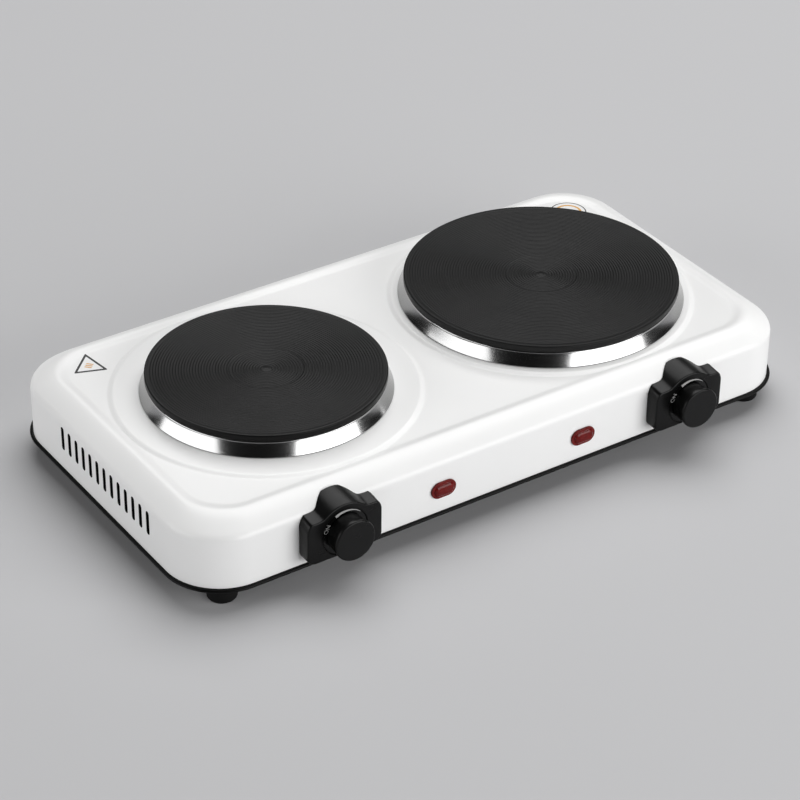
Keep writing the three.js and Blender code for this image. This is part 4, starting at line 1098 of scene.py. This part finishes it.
for name, side in (("left", -1), ("right", 1)):
    x = side * KNOB_X
    cowl = bezel_body(x, 0.0, rounding + [(BEZEL_DEPTH, 0.0)])
    cut(cowl, bezel_body(x, BEZEL_WALL, [(BEZEL_WALL, 0.0), (BEZEL_DEPTH + 1, 0.0)]))
    cut(cowl, rod("boss", BOSS_R, BEZEL_Y + BEZEL_WALL / 2, FRONT_Y - FIT_GAP, x, KNOB_Z, 48), "UNION")
    cut(cowl, housing_form(FIT_GAP))
    cut(cowl, turned("recess", recess, KNOB_SIDES, x, KNOB_Z, along_y=True))
    cut(cowl, rod("hub_hole", HUB_HOLE_R, BEZEL_Y - 1, FRONT_Y + 3, x, KNOB_Z, 48))
    cowl.name = "bezel_cowl_" + name
    fix(smooth(cowl, 30.0), black_plastic, "black_plastic", "housing", "bezel_" + name)
    plate = turned("dial_plate_" + name, disc, KNOB_SIDES, x, KNOB_Z, closed=True, along_y=True)
    fix(smooth(plate), dial_black, "black_plastic", "housing")
    print_y = dial_y - PRINT_LIFT
    fix(tapering_arc("dial_arc_" + name, x, print_y), white_ink, "black_plastic", "housing")
    fix(printed_word("dial_mark_" + name, "ON", x, print_y), white_ink, "black_plastic", "housing")

# ------------------------------------------------------------------------------------------------
# Knobs: moulded black plastic caps with a flat face and a slightly narrower skirt, pushed on the
# flat of the thermostat's shaft. Each turns with its shaft.
# ------------------------------------------------------------------------------------------------

SHAFT_HOLE_R = 3.3
SHAFT_END_GAP = 0.3
HUB_R = 5.4
SKIRT_R = 12.9
SKIRT_WALL = 2.0
CAP_ROUND = 1.1
CAP_T = 2.6
shaft_front = box_mm("control_shaft_right")[0].y
bore_y = shaft_front - SHAFT_END_GAP
face_r = (knob_high.x - knob_low.x) / 2
face_y = knob_low.y
hub_y = knob_high.y
inner_y = face_y + CAP_T
for name, side in (("left", -1), ("right", 1)):
    section = [(0, face_y), (face_r - 2.0, face_y)]
    section += arc(face_r - CAP_ROUND, face_y + CAP_ROUND, CAP_ROUND, -90, 0, 6)
    section += [(face_r - 0.15, face_y + 3.2), (face_r - 0.55, face_y + 4.4), (SKIRT_R + 0.1, BEZEL_Y - 1.2)]
    section += [(SKIRT_R, BEZEL_Y - 0.4), (SKIRT_R - 0.4, BEZEL_Y), (SKIRT_R - SKIRT_WALL, BEZEL_Y)]
    section += [(SKIRT_R - SKIRT_WALL - 0.2, inner_y), (HUB_R + 0.2, inner_y), (HUB_R, inner_y + 0.4)]
    section += [(HUB_R, hub_y), (SHAFT_HOLE_R, hub_y), (SHAFT_HOLE_R, bore_y), (0, bore_y)]
    cap = turned("knob_cap_" + name, section, KNOB_SIDES, side * KNOB_X, KNOB_Z, along_y=True)
    fix(smooth(cap, 34.0), black_plastic, "black_plastic", "knob_" + name, "knob_" + name)

# ------------------------------------------------------------------------------------------------
# Pilot lamps' lenses: moulded red plastic with a flat flange and a raised window whose edge is
# bevelled, snapped into the housing from the front over a neon lamp.
# ------------------------------------------------------------------------------------------------

LENS_SIZE = (18.4, 11.6)
LENS_CAP = (14.4, 7.8)
LENS_STEM = (12.6, 7.0)
FLANGE_T = 1.1


def red_lens():
    """Deep red translucent plastic, glossy, with faint moulding streaks inside."""
    material, tree, shader, where = new_finish(
        "red_lens", (0.22, 0.005, 0.004), 0.2,
        transmission_weight=0.2, ior=1.49, specular_ior_level=0.18)
    mottle(tree, shader, where, 330.0, (0.06, 0.001, 0.001), (0.26, 0.010, 0.008), (0.10, 0.22))
    ribs = grow(tree, "ShaderNodeTexWave", {
        "Vector": where, "Scale": 330.0, "Distortion": 0.2,
    }, bands_direction="X")
    bump = grow(tree, "ShaderNodeBump", {
        "Height": ribs.outputs["Fac"], "Strength": 0.35, "Distance": 0.05 * MM,
    })
    tree.links.new(bump.outputs[0], shader.inputs["Normal"])
    return material


lens_red = red_lens()
seat_y = FRONT_Y - FIT_GAP
flange_y = seat_y - FLANGE_T
for name, side in (("left", -1), ("right", 1)):
    levels = [
        (lens_high.y, LENS_STEM, 0.0),
        (seat_y, LENS_STEM, 0.0),
        (seat_y, LENS_SIZE, 0.0),
        (flange_y + 0.35, LENS_SIZE, 0.0),
        (flange_y + 0.1, LENS_SIZE, -0.2),
        (flange_y, LENS_SIZE, -0.7),
        (flange_y, LENS_CAP, 0.5),
        (flange_y - 0.2, LENS_CAP, 0.0),
        (lens_low.y + 0.8, LENS_CAP, -0.3),
        (lens_low.y + 0.15, LENS_CAP, -1.9),
        (lens_low.y, LENS_CAP, -2.6),
    ]
    rings = []
    for y, (wide, tall), extra in levels:
        rings.append([(u, y, h) for u, h in stadium(wide + extra, tall + extra, side * LENS_X, LENS_Z)])
    lens = stacked("lamp_lens_" + name, rings)
    fix(smooth(lens, 30.0), lens_red, "red_lens", "housing", "pilot_lens_" + name)

# ------------------------------------------------------------------------------------------------
# Cable gland: a moulded black bush with a round flange outside and a barbed collar inside, snapped
# into the rear wall, where the mains lead passes in.
# ------------------------------------------------------------------------------------------------

GLAND_FLANGE_R = 9.5
GLAND_FLANGE_T = 2.0
GLAND_FLANGE_ROUND = 0.8
GLAND_R = 7.0
GLAND_BARB = 1.6
CORD_R = 4.0
collar_y = REAR_Y + FIT_GAP
flange_back = collar_y + GLAND_FLANGE_T
barb_y = REAR_Y - STEEL - FIT_GAP
section = [(CORD_R, gland_low.y), (GLAND_R + GLAND_BARB / 2, gland_low.y)]
section += [(GLAND_R + GLAND_BARB, barb_y), (GLAND_R, barb_y)]
section += [(GLAND_R, collar_y), (GLAND_FLANGE_R - 0.3, collar_y), (GLAND_FLANGE_R, collar_y + 0.3)]
flange_arc_r, flange_arc_y = GLAND_FLANGE_R - GLAND_FLANGE_ROUND, flange_back - GLAND_FLANGE_ROUND
section += arc(flange_arc_r, flange_arc_y, GLAND_FLANGE_ROUND, 0, 90, 5)
neck = (GLAND_R - 0.8, flange_back + 1)
section += bend((GLAND_R + 0.6, flange_back), (GLAND_R - 0.6, flange_back), neck, 4)
section += [(GLAND_R - 1.2, gland_high.y - 0.6), (GLAND_R - 1.6, gland_high.y - 0.1)]
section += [(GLAND_R - 1.9, gland_high.y), (CORD_R + 0.5, gland_high.y), (CORD_R, gland_high.y - 0.5)]
gland = turned("cable_bush", section, 64, GLAND_X, GLAND_Z, closed=True, along_y=True)
fix(smooth(gland, 34.0), black_plastic, "black_plastic", "housing", "cable_gland")

# ------------------------------------------------------------------------------------------------
# Printed marks on the panel: a plain triangle round three dashes at the rear left and two plain
# rings at the rear right, screen-printed in black with amber inside, and free of any words.
# ------------------------------------------------------------------------------------------------

INK_T = 0.04
INK_LIFT = 0.03
TRIANGLE = ((-185.3, 99.1), (-202.1, 82.4), (-182.1, 75.1))
TRIANGLE_OUTER = 1.03
TRIANGLE_INNER = 0.80
DASH_PITCH = 2.0
DASH_HALF = 2.0
DASH_R = 0.5
RING_MARK = (191.5, 80.3)
RING_BLACK = (12.9, 12.2)
RING_AMBER = (9.6, 8.0)
RING_STEPS = 72


def on_panel(u, v, lift):
    """The point a small lift above the enamelled top, so that a mark follows the pressed shape."""
    return (u, v, panel_height(u, v) + lift)


def screen_ink(name, dark, light):
    """Screen-printed ink, semi-matt, with a slightly uneven film."""
    material, tree, shader, where = new_finish(name, light, 0.45)
    mottle(tree, shader, where, 700.0, dark, light, (0.4, 0.55))
    grain(tree, shader, where, 1800.0, 0.004)
    return material


def printed_band(name, outer, inner):
    """A thin printed band between two outlines of equal count, lying on the panel."""
    count = len(outer)
    rows = ((outer, INK_LIFT), (inner, INK_LIFT), (inner, INK_LIFT + INK_T), (outer, INK_LIFT + INK_T))
    points = [on_panel(u, v, lift) for row, lift in rows for u, v in row]
    faces = []
    for row in range(4):
        a, b = row * count, ((row + 1) % 4) * count
        faces += [(a + i, a + (i + 1) % count, b + (i + 1) % count, b + i) for i in range(count)]
    return close_up(new_piece(name, points, faces))


def rounded_triangle(middle, corners, size, radius):
    """A triangle scaled about its middle, its corners rounded."""
    sharp = [middle + (corner - middle) * size for corner in corners]
    points = []
    for i, tip in enumerate(sharp):
        before, after = (sharp[i - 1] - tip).normalized(), (sharp[(i + 1) % 3] - tip).normalized()
        points += bend(tip + before * radius, tip, tip + after * radius, 6)
    return points


black_ink = screen_ink("black_ink", grey(0.006), grey(0.012))
amber_ink = screen_ink("amber_ink", (0.62, 0.30, 0.07), (0.80, 0.46, 0.14))
corners = [Vector((x, y + MIDDLE_Y)) for x, y in TRIANGLE]
middle = sum(corners, Vector((0, 0))) / 3
outer = rounded_triangle(middle, corners, TRIANGLE_OUTER, 1.2)
inner = rounded_triangle(middle, corners, TRIANGLE_INNER, 0.6)
fix(printed_band("triangle_mark", outer, inner), black_ink, "black_paint", "housing")
along = (corners[0] - corners[1]).normalized()
across = Vector((-along.y, along.x))
dash_outline = arc(DASH_HALF, 0.0, DASH_R, -90, 90, 6) + arc(-DASH_HALF, 0.0, DASH_R, 90, 270, 6)
for i in range(3):
    spot = middle + along * DASH_PITCH * (i - 1)
    outline = [spot + across * u + along * v for u, v in dash_outline]
    levels = [[on_panel(p.x, p.y, lift) for p in outline] for lift in (INK_LIFT, INK_LIFT + INK_T)]
    dash = stacked(f"triangle_dash_{i + 1}", levels)
    fix(dash, amber_ink, "black_paint", "housing")


def circle(radius):
    """A circle about the ring mark's middle."""
    cx, cy = RING_MARK
    turn = [2 * math.pi * i / RING_STEPS for i in range(RING_STEPS)]
    return [(cx + radius * math.cos(a), cy + MIDDLE_Y + radius * math.sin(a)) for a in turn]


ring_black = printed_band("ring_mark", *[circle(radius) for radius in RING_BLACK])
fix(ring_black, black_ink, "black_paint", "housing")
ring_amber = printed_band("ring_mark_amber", *[circle(radius) for radius in RING_AMBER])
fix(ring_amber, amber_ink, "black_paint", "housing")

# ------------------------------------------------------------------------------------------------
# Studio: a plain pale floor, one large soft light behind and above, and a soft box to each side
# of the camera, whose long reflections give the trim rings their bright and dark bands.
# ------------------------------------------------------------------------------------------------

CAMERA_AZIMUTH = -34.21
CAMERA_ELEVATION = 33.23
CAMERA_ROLL = 0.0118
CAMERA_PLACE = (-0.86395, -1.25598, 1.01452)
CAMERA_LENS = 123.8
SENSOR_WIDTH = 36.0
FLOOR_HALF = 30.0
LIGHT_AIM = Vector((0.0, 0.0, 0.04))


def pale_floor():
    """Pale grey painted floor, matt and even."""
    material, tree, shader, where = new_finish("pale_floor", (0.55, 0.55, 0.56), 0.9, specular_ior_level=0.1)
    mottle(tree, shader, where, 3.0, (0.545, 0.545, 0.555), (0.555, 0.555, 0.565), (0.88, 0.92))
    return material


def soft_box(name, azimuth, elevation, distance, width, height, power):
    """A rectangular soft light at an azimuth from the camera's side, aimed at the hob."""
    data = bpy.data.lights.new(name, "AREA")
    data.shape = "RECTANGLE"
    data.size, data.size_y = width, height
    data.energy = power
    lamp = bpy.data.objects.new(name, data)
    a, e = math.radians(azimuth + CAMERA_AZIMUTH), math.radians(elevation)
    back = Vector((math.sin(a) * math.cos(e), -math.cos(a) * math.cos(e), math.sin(e)))
    lamp.location = LIGHT_AIM + back * distance
    lamp.rotation_mode = "QUATERNION"
    lamp.rotation_quaternion = back.to_track_quat("Z", "Y")
    lamp.visible_camera = False
    bpy.context.scene.collection.objects.link(lamp)


floor_mesh = bpy.data.meshes.new("studio_floor")
floor_corners = [(sx * FLOOR_HALF, sy * FLOOR_HALF, 0.0) for sx, sy in ((-1, -1), (1, -1), (1, 1), (-1, 1))]
floor_mesh.from_pydata(floor_corners, [], [(0, 1, 2, 3)])
floor_mesh.materials.append(pale_floor())
studio_floor = bpy.data.objects.new("studio_floor", floor_mesh)
bpy.context.scene.collection.objects.link(studio_floor)

soft_box("overhead_behind", azimuth=165, elevation=62, distance=2.8, width=3.2, height=2.6, power=81)
soft_box("box_right", azimuth=55, elevation=15, distance=2.2, width=2.4, height=1.3, power=42)
soft_box("box_left", azimuth=-68, elevation=15, distance=2.2, width=2.2, height=1.3, power=23)

world = bpy.data.worlds.new("studio_dark")
world.use_nodes = True
world.node_tree.nodes["Background"].inputs["Color"].default_value = (*grey(0.008), 1)
bpy.context.scene.world = world
bpy.context.scene.view_settings.view_transform = "Standard"

azimuth, elevation = math.radians(CAMERA_AZIMUTH), math.radians(CAMERA_ELEVATION)
forward = Vector((
    -math.sin(azimuth) * math.cos(elevation), math.cos(azimuth) * math.cos(elevation), -math.sin(elevation),
))
level = forward.cross(Vector((0, 0, 1))).normalized()
upright = level.cross(forward)
right = level * math.cos(CAMERA_ROLL) + upright * math.sin(CAMERA_ROLL)
up = upright * math.cos(CAMERA_ROLL) - level * math.sin(CAMERA_ROLL)
camera_data = bpy.data.cameras.new("camera")
camera_data.lens = CAMERA_LENS
camera_data.sensor_width = SENSOR_WIDTH
camera = bpy.data.objects.new("camera", camera_data)
bpy.context.scene.collection.objects.link(camera)
facing = Matrix((right, up, -forward)).transposed().to_4x4()
camera.matrix_world = Matrix.Translation(CAMERA_PLACE) @ facing
bpy.context.scene.camera = camera
